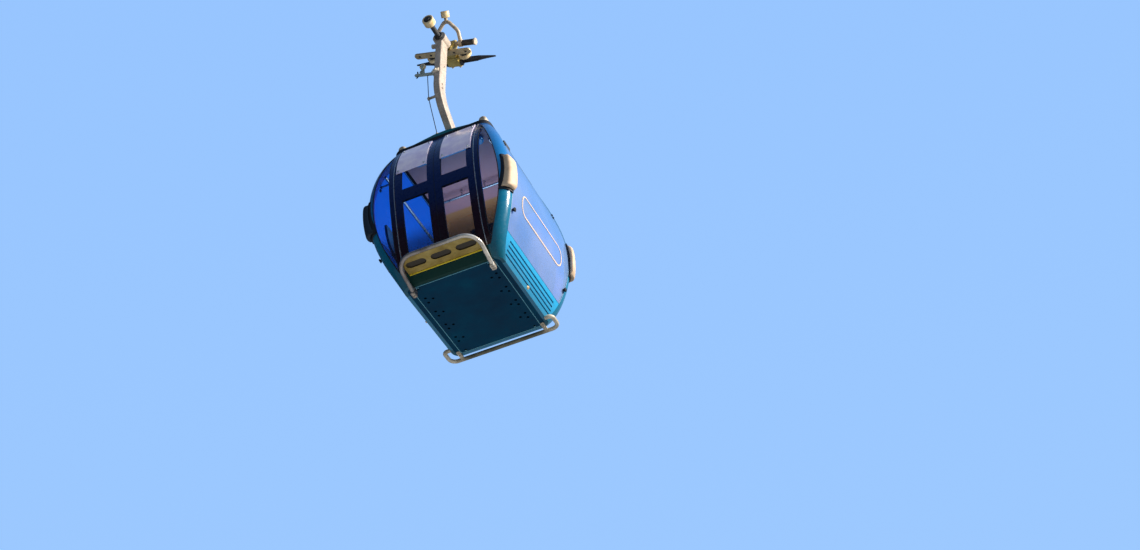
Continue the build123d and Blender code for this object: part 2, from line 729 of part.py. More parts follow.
# The grip's casting: lower jaw, boss for the hanger's shaft, lugs and carriers
with BuildPart() as grip:
    with BuildSketch(rope_cross.offset(-body_len / 2)):
        with BuildLine():
            Polyline(
                (jaw_r, -jaw_gap / 2), (jaw_r, -jaw_r / 2), (jaw_r / 2, -jaw_r), (boss_end, -jaw_r),
                (boss_end, jaw_gap), (-jaw_r - 15, jaw_gap), (-jaw_r - 15, -jaw_gap / 2), close=True,
            )
        make_face()
    extrude(amount=body_len)
    with BuildSketch(rope_side.offset(jaw_r + 15)):
        Circle(boss_r)
    extrude(amount=-boss_end - jaw_r - 15)
    for way in (-1, 1):
        with BuildSketch(rope_cross.offset(way * (body_len - lug_t) / 2 - lug_t / 2)):
            with BuildLine():
                Polyline(
                    (lever_y - 60, 0), (lever_y + 60, 0), (lever_y + lever_r + 20, lever_z),
                    (lever_y - lever_r - 20, lever_z), close=True,
                )
            make_face()
            with Locations((lever_y, lever_z)):
                Circle(lever_r + 20)
        extrude(amount=lug_t)
    with BuildSketch(rope_flat.offset(drive_z + drive_t / 2 + fit_gap)):
        with Locations((0, drive_y)):
            Rectangle(body_len, drive_w - 20)
    extrude(amount=-drive_z - drive_t / 2 - fit_gap)
    with BuildSketch(rope_side.offset(-wheel_y - wheel_w / 2 - running_gap - carrier_t)):
        with Locations((0, wheel_z)):
            SlotOverall(2 * wheel_s + carrier_h, carrier_h)
    extrude(amount=carrier_t)
    for way in (-1, 1):
        with BuildSketch(rope_side.offset(-wheel_y - wheel_w / 2 - running_gap)):
            with Locations((way * wheel_s, wheel_z)):
                Circle(axle_r)
        extrude(amount=wheel_w + 2 * running_gap)
        with BuildSketch(rope_side.offset(-wheel_y + wheel_w / 2 + running_gap)):
            with Locations((way * wheel_s, wheel_z)):
                Circle(axle_r + 10)
        extrude(amount=6)
    with BuildSketch(rope_cross.offset(-far)):
        Circle(rope_r)
        with Locations((lever_y, lever_z)):
            Circle(lever_r + fit_gap)
    extrude(amount=2 * far, mode=Mode.SUBTRACT)
    with BuildSketch(rope_side.offset(-boss_end - 120)):
        Circle(shaft_r + fit_gap)
    extrude(amount=200, mode=Mode.SUBTRACT)
write("grip_body", grip.part)
with BuildPart() as shaft:
    with BuildSketch(rope_side.offset(-boss_end - 120)):
        Circle(shaft_r)
    extrude(amount=-arm_top_y + arm_d / 2 + running_gap + 16 + boss_end + 120)
    with BuildSketch(rope_side.offset(-arm_top_y + arm_d / 2 + running_gap)):
        Circle(shaft_r + 18)
    extrude(amount=24)
    with BuildSketch(rope_side.offset(-arm_top_y + arm_d / 2 + running_gap + 16)):
        Circle(shaft_r - 4)
    extrude(amount=-drum_y - drum_w / 2 - running_gap + arm_top_y - arm_d / 2 - running_gap - 16)
    with BuildSketch(rope_side.offset(-drum_y - drum_w / 2 - running_gap)):
        Circle(drum_pin_r)
    extrude(amount=drum_w + 2 * running_gap)
    with BuildSketch(rope_side.offset(-drum_y + drum_w / 2 + running_gap)):
        Circle(drum_pin_r + 12)
    extrude(amount=10)
write("hanger_shaft", shaft.part)
with BuildPart() as drum:
    with BuildSketch(rope_side.offset(-drum_y - drum_w / 2)):
        Circle(drum_r)
        Circle(drum_pin_r + fit_gap, mode=Mode.SUBTRACT)
    extrude(amount=drum_w)
    fillet(drum.edges().filter_by(GeomType.CIRCLE).sort_by(SortBy.LENGTH)[-2:], radius=16)
write("guide_roller", drum.part)

# The upper jaw, its yoke with a roller, and the sprung shaft that they turn on
along_rope = rope_flat.from_local_coords(Vector(1, 0, 0))
yoke_way = rope_flat.from_local_coords(Vector(0, yoke_y - lever_y, yoke_z - lever_z))
yoke_len = yoke_way.length
yoke_plane = Plane(
    rope_flat.from_local_coords(Vector(0, lever_y, lever_z)), x_dir=along_rope, z_dir=along_rope.cross(yoke_way)
)
yoke_tip = Plane(rope_flat.from_local_coords(Vector(0, yoke_y, yoke_z)), x_dir=along_rope, z_dir=yoke_way)
with BuildPart() as clamp:
    with BuildSketch(rope_cross.offset(lever_low)):
        with Locations((lever_y, lever_z)):
            Circle(lever_r)
    extrude(amount=lever_high - lever_low)
    with BuildSketch(rope_cross.offset(-jaw_half)):
        with BuildLine():
            Polyline(
                (jaw_r, jaw_gap / 2), (jaw_r, jaw_r / 2), (jaw_r * 0.6, jaw_r + 8), (lever_y, lever_z + 46),
                (lever_y - 40, lever_z), (lever_y, lever_z - 44), (-jaw_r - 8, lever_z - 44),
                (-jaw_r - 8, jaw_gap / 2), close=True,
            )
        make_face()
        Circle(rope_r, mode=Mode.SUBTRACT)
        with Locations((lever_y, lever_z)):
            Circle(46)
    extrude(amount=2 * jaw_half)
    with BuildLine(yoke_plane) as yoke_path:
        FilletPolyline(
            (-yoke_half, 0), (-yoke_half * 0.92, yoke_len * 0.42), (0, yoke_len * 0.84),
            (yoke_half * 0.92, yoke_len * 0.42), (yoke_half, 0), radius=[110, 70, 110],
        )
    with BuildSketch(Plane(yoke_path.line @ 0, z_dir=yoke_path.line % 0)):
        Circle(yoke_bar_r)
    sweep(path=yoke_path.line)
    for way in (-1, 1):
        with BuildSketch(rope_cross.offset(way * yoke_half - yoke_eye_w / 2)):
            with Locations((lever_y, lever_z)):
                Circle(lever_r + 14)
        extrude(amount=yoke_eye_w)
    with BuildSketch(yoke_tip.offset(-yoke_len * 0.2)):
        Circle(axle_r)
    extrude(amount=yoke_len * 0.2 + roller_w / 2 + running_gap)
    with BuildSketch(yoke_tip.offset(-roller_w / 2 - running_gap - 16)):
        Circle(axle_r + 10)
    extrude(amount=16)
    with BuildSketch(yoke_tip.offset(roller_w / 2 + running_gap)):
        Circle(axle_r + 8)
    extrude(amount=6)
    with BuildSketch(rope_cross.offset(lever_high)):
        with Locations((lever_y, lever_z)):
            Circle(spring_r + 6)
    extrude(amount=18)
write("clamp_lever", clamp.part)
with BuildPart() as spring_case:
    with BuildSketch(rope_cross.offset(yoke_half + yoke_eye_w / 2 + fit_gap)):
        with Locations((lever_y, lever_z)):
            Circle(spring_r)
            Circle(lever_r + fit_gap, mode=Mode.SUBTRACT)
    extrude(amount=lever_high - yoke_half - yoke_eye_w / 2 - 2 * fit_gap)
write("spring_case", spring_case.part)
with BuildPart() as lever_roller:
    with BuildSketch(yoke_tip.offset(-roller_w / 2)):
        Circle(roller_r)
        Circle(axle_r + fit_gap, mode=Mode.SUBTRACT)
    extrude(amount=roller_w)
    fillet(lever_roller.edges().filter_by(GeomType.CIRCLE).sort_by(SortBy.LENGTH)[-2:], radius=10)
write("lever_roller", lever_roller.part)

# The running wheels, the drive plate and the tongues that lead rollers over the grip
for name, way in [("front", 1), ("rear", -1)]:
    with BuildPart() as wheel:
        with BuildSketch(rope_side.offset(-wheel_y - wheel_w / 2)):
            with Locations((way * wheel_s, wheel_z)):
                Circle(wheel_r)
                Circle(axle_r + fit_gap, mode=Mode.SUBTRACT)
        extrude(amount=wheel_w)
        fillet(wheel.edges().filter_by(GeomType.CIRCLE).sort_by(SortBy.LENGTH)[-2:], radius=8)
    write(f"running_wheel_{name}", wheel.part)
with BuildPart() as drive_plate:
    with BuildSketch(rope_flat.offset(drive_z - drive_t / 2)):
        with Locations((drive_shift, drive_y)):
            RectangleRounded(2 * drive_half, drive_w, drive_w * 0.45)
    extrude(amount=drive_t)
write("drive_plate", drive_plate.part)
with BuildPart() as tongues:
    for way in (-1, 1):
        with BuildSketch(rope_cross.offset(way * tongue_start)):
            Circle(rope_r + tongue_wall)
            Circle(rope_r + 1, mode=Mode.SUBTRACT)
        extrude(amount=way * tongue_len)
    with BuildSketch(rope_side.offset(-far)):
        with BuildLine():
            root = tongue_start + 30
            tip = tongue_start + tongue_len
            high = rope_r + tongue_wall
            Polyline(
                (-tip, 0), (-tip, rope_r + 6), (-root, high), (root, high), (tip, rope_r + 6), (tip, 0),
                (root, 0), (root, -high), (-root, -high), (-root, 0), close=True,
            )
        make_face()
    extrude(amount=2 * far, mode=Mode.INTERSECT)
    with BuildSketch(rope_flat.offset(-far)):
        with BuildLine():
            Polyline(
                (-tip, 10), (-root, rope_r + 12), (root, rope_r + 12), (tip, 10), (tip, -10),
                (root, -high), (-root, -high), (-tip, -10), close=True,
            )
        make_face()
    extrude(amount=2 * far, mode=Mode.INTERSECT)
write("rope_tongues", tongues.part)
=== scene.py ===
import json
import math

import bpy
from mathutils import Matrix, Vector


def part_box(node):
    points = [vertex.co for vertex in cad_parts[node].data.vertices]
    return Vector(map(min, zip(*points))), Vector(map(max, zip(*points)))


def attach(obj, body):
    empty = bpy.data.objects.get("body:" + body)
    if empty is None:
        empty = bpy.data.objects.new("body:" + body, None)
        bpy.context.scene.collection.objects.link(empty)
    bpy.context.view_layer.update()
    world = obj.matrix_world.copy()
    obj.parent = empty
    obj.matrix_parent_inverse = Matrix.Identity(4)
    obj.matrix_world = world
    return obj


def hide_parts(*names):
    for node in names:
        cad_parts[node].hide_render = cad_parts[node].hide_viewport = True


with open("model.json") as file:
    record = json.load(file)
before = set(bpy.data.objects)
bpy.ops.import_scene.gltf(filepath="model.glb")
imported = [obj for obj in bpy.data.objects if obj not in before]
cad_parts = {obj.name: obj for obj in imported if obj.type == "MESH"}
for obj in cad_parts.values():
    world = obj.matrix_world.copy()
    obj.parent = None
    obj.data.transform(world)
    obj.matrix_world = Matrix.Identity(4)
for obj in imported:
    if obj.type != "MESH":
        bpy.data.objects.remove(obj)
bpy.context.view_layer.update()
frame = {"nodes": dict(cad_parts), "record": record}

print("frame loaded:", len(frame["nodes"]), "nodes")

# camera and stage
shot = {
    "place": (5.852, -14.698, -17.113),
    "right": (0.91769, 0.38436, -0.10031),
    "up": (0.32147, -0.57025, 0.75591),
    "focalPixels": 1839.6,
    "photoWidth": 1140,
    "sensor": 36.0,
    "clip": (0.1, 400.0),
}
floorUnderside = -4.020  # height of the cabin floor's underside in the frame
cabinHeight = 2.10


def placed(name, data):  # a new object in the scene
    made = bpy.data.objects.new(name, data)
    bpy.context.scene.collection.objects.link(made)
    return made


def addCamera():
    right = Vector(shot["right"]).normalized()
    up = Vector(shot["up"])
    up = (up - right * up.dot(right)).normalized()
    back = right.cross(up)
    camera = placed("camera", bpy.data.cameras.new("camera"))
    turn = Matrix((right, up, back)).transposed()
    camera.matrix_world = Matrix.Translation(shot["place"]) @ turn.to_4x4()
    camera.data.sensor_width = shot["sensor"]
    camera.data.lens = shot["focalPixels"] * shot["sensor"] / shot["photoWidth"]
    camera.data.clip_start, camera.data.clip_end = shot["clip"]
    bpy.context.scene.camera = camera


stage = {
    "floorDrop": 0.02,  # floor below the camera
    "floorRadius": 160.0,
    "floorSides": 128,
    "floorTones": ((0.70, 0.68, 0.66), (0.76, 0.74, 0.72)),
    "skyLow": (0.38, 0.63, 1.0),
    "skyHigh": (0.29, 0.535, 1.0),
    "domeWay": (0.78, 0.30, 0.55),  # the bright side of the light dome
    "domeFrom": -0.25,
    "domeLow": 0.11,
    "domeHigh": 1.0,
    "softLight": (0.70, 0.83, 1.0),  # what matt surfaces get from the dome
    "sideLight": {
        "place": (12, 1.0, 1.5), "target": (0, 0, -2.8),
        "size": 3.2, "power": 3600, "colour": (1, 0.92, 0.80),
    },
    "cabinLamp": {
        "place": (0, 0.1, -3.0), "target": (0, 0, 0),
        "size": 0.9, "power": 12, "colour": (1, 0.90, 0.88),
    },
}


def addLight(name):
    facts = stage[name]
    lamp = bpy.data.lights.new(name, "AREA")
    lamp.size = facts["size"]
    lamp.energy = facts["power"]
    lamp.color = facts["colour"]
    holder = placed(name, lamp)
    holder.location = facts["place"]
    way = Vector(facts["target"]) - Vector(facts["place"])
    holder.rotation_euler = way.to_track_quat("-Z", "Y").to_euler()
    holder.visible_camera = False


addCamera()


# paint tools
class Wire:  # a node's output, to be used in sums

    def __init__(self, owner, socket):
        self.owner = owner
        self.socket = socket

    def maths(self, operation, *others):
        values = dict(enumerate((self,) + others))
        return self.owner.node("ShaderNodeMath", {"operation": operation}, values)

    def flipped(self, operation, first):
        return self.owner.node("ShaderNodeMath", {"operation": operation}, {0: first, 1: self})

    def __add__(self, other):
        return self.maths("ADD", other)

    __radd__ = __add__

    def __mul__(self, other):
        return self.maths("MULTIPLY", other)

    __rmul__ = __mul__

    def __sub__(self, other):
        return self.maths("SUBTRACT", other)

    def __rsub__(self, other):
        return self.flipped("SUBTRACT", other)

    def __truediv__(self, other):
        return self.maths("DIVIDE", other)

    def __rtruediv__(self, other):
        return self.flipped("DIVIDE", other)

    def __pow__(self, other):
        return self.maths("POWER", other)

    def __abs__(self):
        return self.maths("ABSOLUTE")

    def between(self, low, high, outLow=0.0, outHigh=1.0):
        return self.owner.node(
            "ShaderNodeMapRange", {"interpolation_type": "SMOOTHSTEP"},
            {0: self, 1: low, 2: high, 3: outLow, 4: outHigh},
        )

    def above(self, level, soft=0.01):
        return self.between(level - soft, level + soft)

    def below(self, level, soft=0.01):
        return self.between(level - soft, level + soft, 1.0, 0.0)


class Nodes:  # a node tree and the one way to add a node to it

    def __init__(self, tree):
        self.tree = tree

    def node(self, kind, settings=None, values=None, out=0):
        made = self.tree.nodes.new(kind)
        for key, value in (settings or {}).items():
            if key == "stops":
                self.setStops(made.color_ramp, value)
            else:
                setattr(made, key, value)
        for key, value in (values or {}).items():
            self.feed(made.inputs[key], value)
        return Wire(self, made.outputs[out])

    def setStops(self, ramp, stops):
        while len(ramp.elements) < len(stops):
            ramp.elements.new(0.5)
        for element, (position, colour) in zip(ramp.elements, stops):
            element.position = position
            element.color = (*colour, 1)

    def feed(self, socket, value):
        if isinstance(value, Wire):
            self.tree.links.new(value.socket, socket)
        elif socket.type == "RGBA":
            socket.default_value = (*value, 1)
        else:
            socket.default_value = value

    def parts(self, vector):
        split = self.node("ShaderNodeSeparateXYZ", {}, {0: vector}).socket.node
        return [Wire(self, socket) for socket in split.outputs]

    def mix(self, factor, first, second):  # 6, 7 and 2 are the node's colour sockets
        return self.node("ShaderNodeMix", {"data_type": "RGBA"}, {0: factor, 6: first, 7: second}, 2)


class Paint(Nodes):

    def __init__(self, name, **sockets):
        self.material = bpy.data.materials.new(name)
        self.material.use_nodes = True
        super().__init__(self.material.node_tree)
        self.shader = self.tree.nodes["Principled BSDF"]
        for socket, value in sockets.items():
            self.put(socket.replace("_", " "), value)
        self.place = self.node("ShaderNodeTexCoord", out="Object")
        self.x, self.y, self.z = self.parts(self.place)
        self.height = self.z - floorUnderside
        self.nx, self.ny, _ = self.parts(self.node("ShaderNodeNewGeometry", out="Normal"))

    def put(self, socket, value):
        self.feed(self.shader.inputs[socket], value)

    def ramp(self, factor, stops):
        return self.node("ShaderNodeValToRGB", {"stops": stops}, {0: factor})

    def noise(self, scale, detail=4.0, rough=0.55, stretch=None):
        place = self.place
        if stretch:
            place = self.node("ShaderNodeMapping", {}, {"Vector": self.place, "Scale": stretch})
        values = {"Vector": place, "Scale": scale, "Detail": detail, "Roughness": rough}
        return self.node("ShaderNodeTexNoise", {}, values)

    def cells(self, scale, out=0):
        return self.node("ShaderNodeTexVoronoi", {}, {"Vector": self.place, "Scale": scale}, out)

    def bump(self, height, strength, distance):
        values = {"Height": height, "Strength": strength, "Distance": distance}
        self.put("Normal", self.node("ShaderNodeBump", {}, values))

    def glaze(self, factor, tint):
        clear = self.node("ShaderNodeBsdfTransparent", {}, {"Color": tint})
        shader = Wire(self, self.shader.outputs[0])
        mixed = self.node("ShaderNodeMixShader", {}, {0: factor, 1: clear, 2: shader})
        self.feed(self.tree.nodes["Material Output"].inputs[0], mixed)

    def inside(self):  # 1 on faces that look in towards the middle of the cabin
        return (self.nx * self.x + self.ny * self.y).between(-0.12, -0.02, 1.0, 0.0)

    def rim(self, strength):  # how much a pane mirrors, from 0.04 face on to all that it can edge on
        edge = self.node("ShaderNodeLayerWeight", {}, {"Blend": 0.5}, "Facing")
        return edge ** 4 * strength + 0.04


# the finishes
dust = {"colour": (0.36, 0.33, 0.29), "patchScale": 9.0, "runScale": 26.0, "runStretch": (1, 1, 0.08)}


def dusty(paint, base, amount, colour=dust["colour"]):
    patches = paint.noise(dust["patchScale"], 6, 0.6).between(0.5, 0.8)
    runs = paint.noise(dust["runScale"], 3, 0.5, dust["runStretch"]).between(0.56, 0.78)
    return paint.mix((patches * 0.6 + runs * 0.5) * amount, base, colour)


hoopTones = {
    "stops": [
        (0.0, (0.0, 0.078, 0.120)), (0.32, (0.0, 0.145, 0.26)),
        (0.46, (0.0, 0.125, 0.34)), (0.97, (0.0, 0.070, 0.26)),
    ],
    "chalk": (0.12, 0.38, 0.62),
    "lining": (0.0, 0.13, 0.50),
    "backLining": (0.86, 0.35, 0.115),
    # painted shade for the strip under the step
    "sill": (0.0, 0.030, 0.022),
    "coat": 0.3,
}
sill = {"y": -0.62, "half": 0.50, "top": 0.12}  # painted shade: the strip between the doors and the step, darkened where the step shades it


def hoopPaint():
    paint = Paint("hoopPaint", Coat_Roughness=0.06, Specular_IOR_Level=0.2)
    share = paint.height / cabinHeight + paint.noise(3, 2).between(0.3, 0.7, -0.012, 0.012)
    chalk = paint.noise(5, 6, 0.65, (1, 1, 0.4)).between(0.5, 0.85)
    tone = paint.mix(chalk * 0.05, paint.ramp(share, hoopTones["stops"]), hoopTones["chalk"])
    tone = dusty(paint, tone, 0.04)
    # painted shade: the hoop is darkened on the strip under the doors where the step shades it
    low = paint.y.below(sill["y"]) * abs(paint.x).below(sill["half"], 0.006) * paint.height.below(sill["top"])
    tone = paint.mix(low, tone, hoopTones["sill"])
    lining = paint.mix(paint.y.above(0.3, 0.1), hoopTones["lining"], hoopTones["backLining"])
    paint.put("Base Color", paint.mix(paint.inside(), tone, lining))
    paint.put("Coat Weight", hoopTones["coat"] - low * hoopTones["coat"])
    paint.put("Roughness", paint.noise(14, 5).between(0.35, 0.75, 0.2, 0.4) + low * 0.3)
    paint.bump(paint.noise(160, 2), 0.1, 0.0005)
    return paint.material


groove = {
    "first": 0.056, "pitch": 0.052, "wide": 0.020, "last": 0.254, "edge": 0.001,
    # tone is a painted shade and dirt for the grooves
    "endHalf": 0.6, "backHalf": 0.46, "side": 0.6, "tone": (0.0, 0.02, 0.045),
}
skirtTones = {
    "stops": [(0.0, (0.0, 0.145, 0.25)), (0.45, (0.0, 0.22, 0.41)), (1.0, (0.0, 0.30, 0.54))],
    "grime": (0.02, 0.08, 0.10),
    "height": 0.3,
}


def skirtPaint():
    paint = Paint("skirtPaint", Coat_Weight=0.5, Coat_Roughness=0.1, Specular_IOR_Level=0.35)
    tone = paint.ramp(paint.height / skirtTones["height"], skirtTones["stops"])
    grime = paint.noise(30, 5, 0.6, (1, 1, 0.3)).between(0.5, 0.8)
    tone = dusty(paint, paint.mix(grime * 0.25, tone, skirtTones["grime"]), 0.08)
    edge = groove["edge"]
    turn = ((paint.height - groove["first"]) / groove["pitch"]).maths("FRACT") * groove["pitch"]
    row = turn.above(edge, edge) * turn.below(groove["wide"] - edge, edge)
    span = paint.height.above(groove["first"], edge) * paint.height.below(groove["last"], edge)
    ends = abs(paint.x).above(groove["side"], 0.02) * abs(paint.y).below(groove["endHalf"], 0.004)
    back = paint.y.above(groove["side"], 0.02) * abs(paint.x).below(groove["backHalf"], 0.004)
    inGroove = row * span * ends.maths("MAXIMUM", back)
    # painted shade and dirt: the grooves are darkened
    paint.put("Base Color", paint.mix(inGroove * 0.94, tone, groove["tone"]))
    paint.put("Roughness", paint.noise(16, 5).between(0.3, 0.75, 0.26, 0.46) + inGroove * 0.3)
    paint.bump(paint.noise(180, 2), 0.1, 0.0005)
    return paint.material


roofTones = {
    "stops": [(0.3, (0.0, 0.10, 0.13)), (0.55, (0.004, 0.14, 0.17)), (0.8, (0.03, 0.20, 0.22))],
    "streak": (0.20, 0.22, 0.20),
}


def roofPaint():
    paint = Paint("roofPaint", Specular_IOR_Level=0.2)
    cloud = paint.noise(3, 6, 0.6)
    streak = paint.noise(20, 5, 0.6, (0.2, 1, 1)).between(0.52, 0.8)
    tone = paint.mix(streak * 0.3, paint.ramp(cloud, roofTones["stops"]), roofTones["streak"])
    paint.put("Base Color", dusty(paint, tone, 0.3))
    paint.put("Roughness", cloud.between(0.3, 0.7, 0.55, 0.75))
    paint.bump(paint.noise(120, 3), 0.15, 0.0007)
    return paint.material


# painted reflection: the dark paint is maroon-brown low down, mirroring the ground, and navy higher up; the
# dust is real
darkToneAndReflection = {
    "stops": [
        (0.05, (0.016, 0.003, 0.006)), (0.30, (0.012, 0.002, 0.008)),
        (0.42, (0.001, 0.008, 0.055)), (1.0, (0.0, 0.016, 0.12)),
    ],
    "dust": (0.06, 0.08, 0.12),
}


def darkPaint():
    paint = Paint("darkPaint", Coat_Weight=0.25, Coat_Roughness=0.06, Specular_IOR_Level=0.2)
    # painted reflection of the ground on the lower part, by height
    tone = paint.ramp(paint.height / cabinHeight, darkToneAndReflection["stops"])
    paint.put("Base Color", dusty(paint, tone, 0.06, darkToneAndReflection["dust"]))
    paint.put("Roughness", paint.noise(18, 4).between(0.35, 0.75, 0.24, 0.42))
    paint.bump(paint.noise(220, 2), 0.1, 0.0005)
    return paint.material


floorTones = {
    "stops": [(0.3, (0.0, 0.026, 0.060)), (0.55, (0.0, 0.038, 0.080)), (0.75, (0.0, 0.055, 0.102))],
    "scrape": (0.02, 0.13, 0.18),
    # painted shade for the floor's edge under the step
    "sill": (0.0, 0.028, 0.020),
    "hole": (0.0, 0.004, 0.012),
}
floorHoles = {"low": 0.003, "high": 0.0125, "x": 0.485, "y": 0.640}  # their walls lie within these, and get a painted shade


def floorPaint():
    paint = Paint("floorPaint", Specular_IOR_Level=0.06)
    cloud = paint.noise(2.6, 6, 0.6)
    scrape = paint.noise(34, 4, 0.6, (0.1, 1, 1)).between(0.64, 0.82)
    tone = paint.mix(scrape * 0.16, paint.ramp(cloud, floorTones["stops"]), floorTones["scrape"])
    # painted shade: the floor's edge under the step is darkened
    strip = paint.y.below(sill["y"], 0.02) * abs(paint.x).below(sill["half"])
    tone = paint.mix(strip * paint.height.above(0.004, 0.003) * 0.9, tone, floorTones["sill"])
    # painted shade on the walls of the floor's holes
    wall = paint.height.above(floorHoles["low"], 0.001) * paint.height.below(floorHoles["high"], 0.001)
    inHole = wall * abs(paint.x).below(floorHoles["x"], 0.004) * abs(paint.y).below(floorHoles["y"], 0.004)
    paint.put("Base Color", paint.mix(inHole, tone, floorTones["hole"]))
    paint.put("Roughness", cloud.between(0.3, 0.7, 0.38, 0.6))
    paint.bump(paint.noise(90, 4), 0.15, 0.0008)
    return paint.material


doorGlass = {
    "clean": (0.010, 0.020, 0.055),
    "smeared": (0.10, 0.12, 0.18),
    "lowReflection": (0.018, 0.006, 0.010),  # painted reflection of the dark ground and hills in the lower panes
    "lowReflectionTop": 0.49,
    "tint": (0.52, 0.69, 0.87),
}


def tintedGlass():
    paint = Paint("tintedGlass", Specular_IOR_Level=0.9)
    smear = paint.noise(5, 6, 0.65, (1, 1, 0.35)).between(0.52, 0.8)
    # painted reflection: the outward faces of the lower panes are darker and less clear
    low = paint.height.below(doorGlass["lowReflectionTop"], 0.17) * paint.ny.between(-0.6, -0.3, 1.0, 0.0)
    tone = paint.mix(smear * 0.5, doorGlass["clean"], doorGlass["smeared"])
    paint.put("Base Color", paint.mix(low, tone, doorGlass["lowReflection"]))
    paint.put("Roughness", smear * 0.08 + 0.02)
    paint.glaze(paint.rim(0.85) + smear * 0.02 + low * 0.5, doorGlass["tint"])
    return paint.material


windowGlass = {
    "haze": ((0.20, 0.32, 0.52), (0.38, 0.41, 0.55)),
    "top": (0.08, 0.24, 0.52),
    "topFrom": 0.5,
    "topTo": 1.6,
    "tint": (0.24, 0.60, 0.95),
}


def endGlass():
    paint = Paint("endGlass", Specular_IOR_Level=0.9)
    cloud = paint.noise(1.1, 3, 0.5).between(0.3, 0.75)
    high = paint.height.between(windowGlass["topFrom"], windowGlass["topTo"])
    tone = paint.mix(cloud, *windowGlass["haze"])
    paint.put("Base Color", paint.mix(high * 0.85, tone, windowGlass["top"]))
    paint.put("Roughness", cloud * 0.05 + 0.05)
    haze = (1 - paint.inside()) * (cloud * 0.06 + 0.36 - high * 0.09)
    paint.glaze(paint.rim(0.6) + haze + 0.02, windowGlass["tint"])
    return paint.material


ventTones = {"haze": ((0.84, 0.72, 0.96), (1.0, 0.90, 1.0)), "tint": (0.92, 0.90, 0.97)}


def ventPlastic():
    paint = Paint("ventPlastic", Specular_IOR_Level=0.7)
    haze = paint.noise(7, 5, 0.6).between(0.3, 0.75)
    paint.put("Base Color", paint.mix(haze, *ventTones["haze"]))
    scratch = paint.noise(70, 4, 0.6, (0.15, 1, 1)).between(0.55, 0.8)
    paint.put("Roughness", scratch * 0.25 + 0.16)
    paint.glaze(paint.rim(0.3) + haze * 0.12 + 0.74, ventTones["tint"])
    return paint.material


ceilingTones = {
    "doorSide": (0.25, 0.148, 0.165),
    "backSide": (0.86, 0.37, 0.33),
    "cloud": (0.56, 0.34, 0.33),
    "span": (-0.6, 0.45),
    "liningFrom": 0.52,
}


def ceilingPlastic():
    paint = Paint("ceilingPlastic", Roughness=0.55)
    cloud = paint.noise(4, 4).between(0.3, 0.7)
    across = paint.y.between(*ceilingTones["span"])
    tone = paint.mix(across, ceilingTones["doorSide"], ceilingTones["backSide"])
    tone = paint.mix(cloud * 0.3, tone, ceilingTones["cloud"])
    atBack = paint.y.above(ceilingTones["liningFrom"], 0.02)
    paint.put("Base Color", paint.mix(atBack, tone, hoopTones["backLining"]))
    paint.bump(paint.noise(500, 2), 0.15, 0.0004)
    return paint.material


def blackTrim():
    paint = Paint("blackTrim", Specular_IOR_Level=0.25)
    worn = paint.noise(22, 5, 0.6).between(0.5, 0.8)
    paint.put("Base Color", paint.mix(worn, (0.008, 0.009, 0.014), (0.035, 0.036, 0.042)))
    paint.put("Roughness", worn * 0.2 + 0.55)
    paint.bump(paint.noise(260, 3), 0.25, 0.0006)
    return paint.material


padTones = {
    "stops": [(0.3, (0.44, 0.30, 0.19)), (0.55, (0.58, 0.42, 0.28)), (0.8, (0.68, 0.52, 0.37))],
    "scuff": (0.16, 0.12, 0.10),
    # painted shade: the pads on the rear end, which face away from the side light, are near-black
    "rear": ((0.010, 0.018, 0.030), (0.035, 0.045, 0.055)),
}


def padRubber():
    paint = Paint("padRubber", Specular_IOR_Level=0.35)
    scuff = paint.noise(46, 5, 0.65, (1, 1, 0.35)).between(0.58, 0.8)
    tone = paint.mix(scuff * 0.4, paint.ramp(paint.noise(11, 5, 0.6), padTones["stops"]), padTones["scuff"])
    # painted shade on the pads of the rear end
    paint.put("Base Color", paint.mix(paint.x.below(0), tone, paint.mix(scuff, *padTones["rear"])))
    paint.put("Roughness", scuff * 0.15 + 0.55)
    paint.bump(paint.noise(300, 3) + scuff * 0.4, 0.3, 0.0008)
    return paint.material


steels = {  # dark, light, rust, metallic and rough
    "galvanised": ((0.30, 0.24, 0.17), (0.64, 0.53, 0.40), 0.3, 0.1, 0.45),
    "railSteel": ((0.42, 0.42, 0.43), (0.62, 0.62, 0.62), 0.0, 0.9, 0.26),
    "gripSteel": ((0.36, 0.27, 0.13), (0.62, 0.50, 0.30), 0.4, 0.1, 0.5),
    "darkSteel": ((0.02, 0.02, 0.024), (0.06, 0.058, 0.055), 0.25, 0.35, 0.55),
    "armSteel": ((0.29, 0.23, 0.18), (0.57, 0.475, 0.39), 0.2, 0.1, 0.5),
    "leverGrey": ((0.22, 0.26, 0.23), (0.42, 0.47, 0.41), 0.2, 0.1, 0.5),
}
steelWear = {"spangle": 60, "rust": (0.30, 0.13, 0.035)}


def steel(name):
    dark, light, rust, metallic, rough = steels[name]
    paint = Paint(name)
    grain = paint.cells(steelWear["spangle"], "Color")
    flake = paint.node("ShaderNodeSeparateColor", {}, {0: grain})
    cloud = paint.noise(8, 5, 0.6).between(0.3, 0.7)
    tone = paint.mix(flake * 0.45 + cloud * 0.45, dark, light)
    stain = paint.noise(13, 7, 0.7, (1, 1, 0.5)).between(0.55, 0.78)
    paint.put("Base Color", paint.mix(stain * rust, tone, steelWear["rust"]))
    paint.put("Metallic", metallic - stain * (metallic * 0.7))
    paint.put("Roughness", flake * 0.1 + stain * 0.25 + rough)
    paint.bump(paint.noise(140, 4) + flake * 0.3, 0.16, 0.0006)
    return paint.material


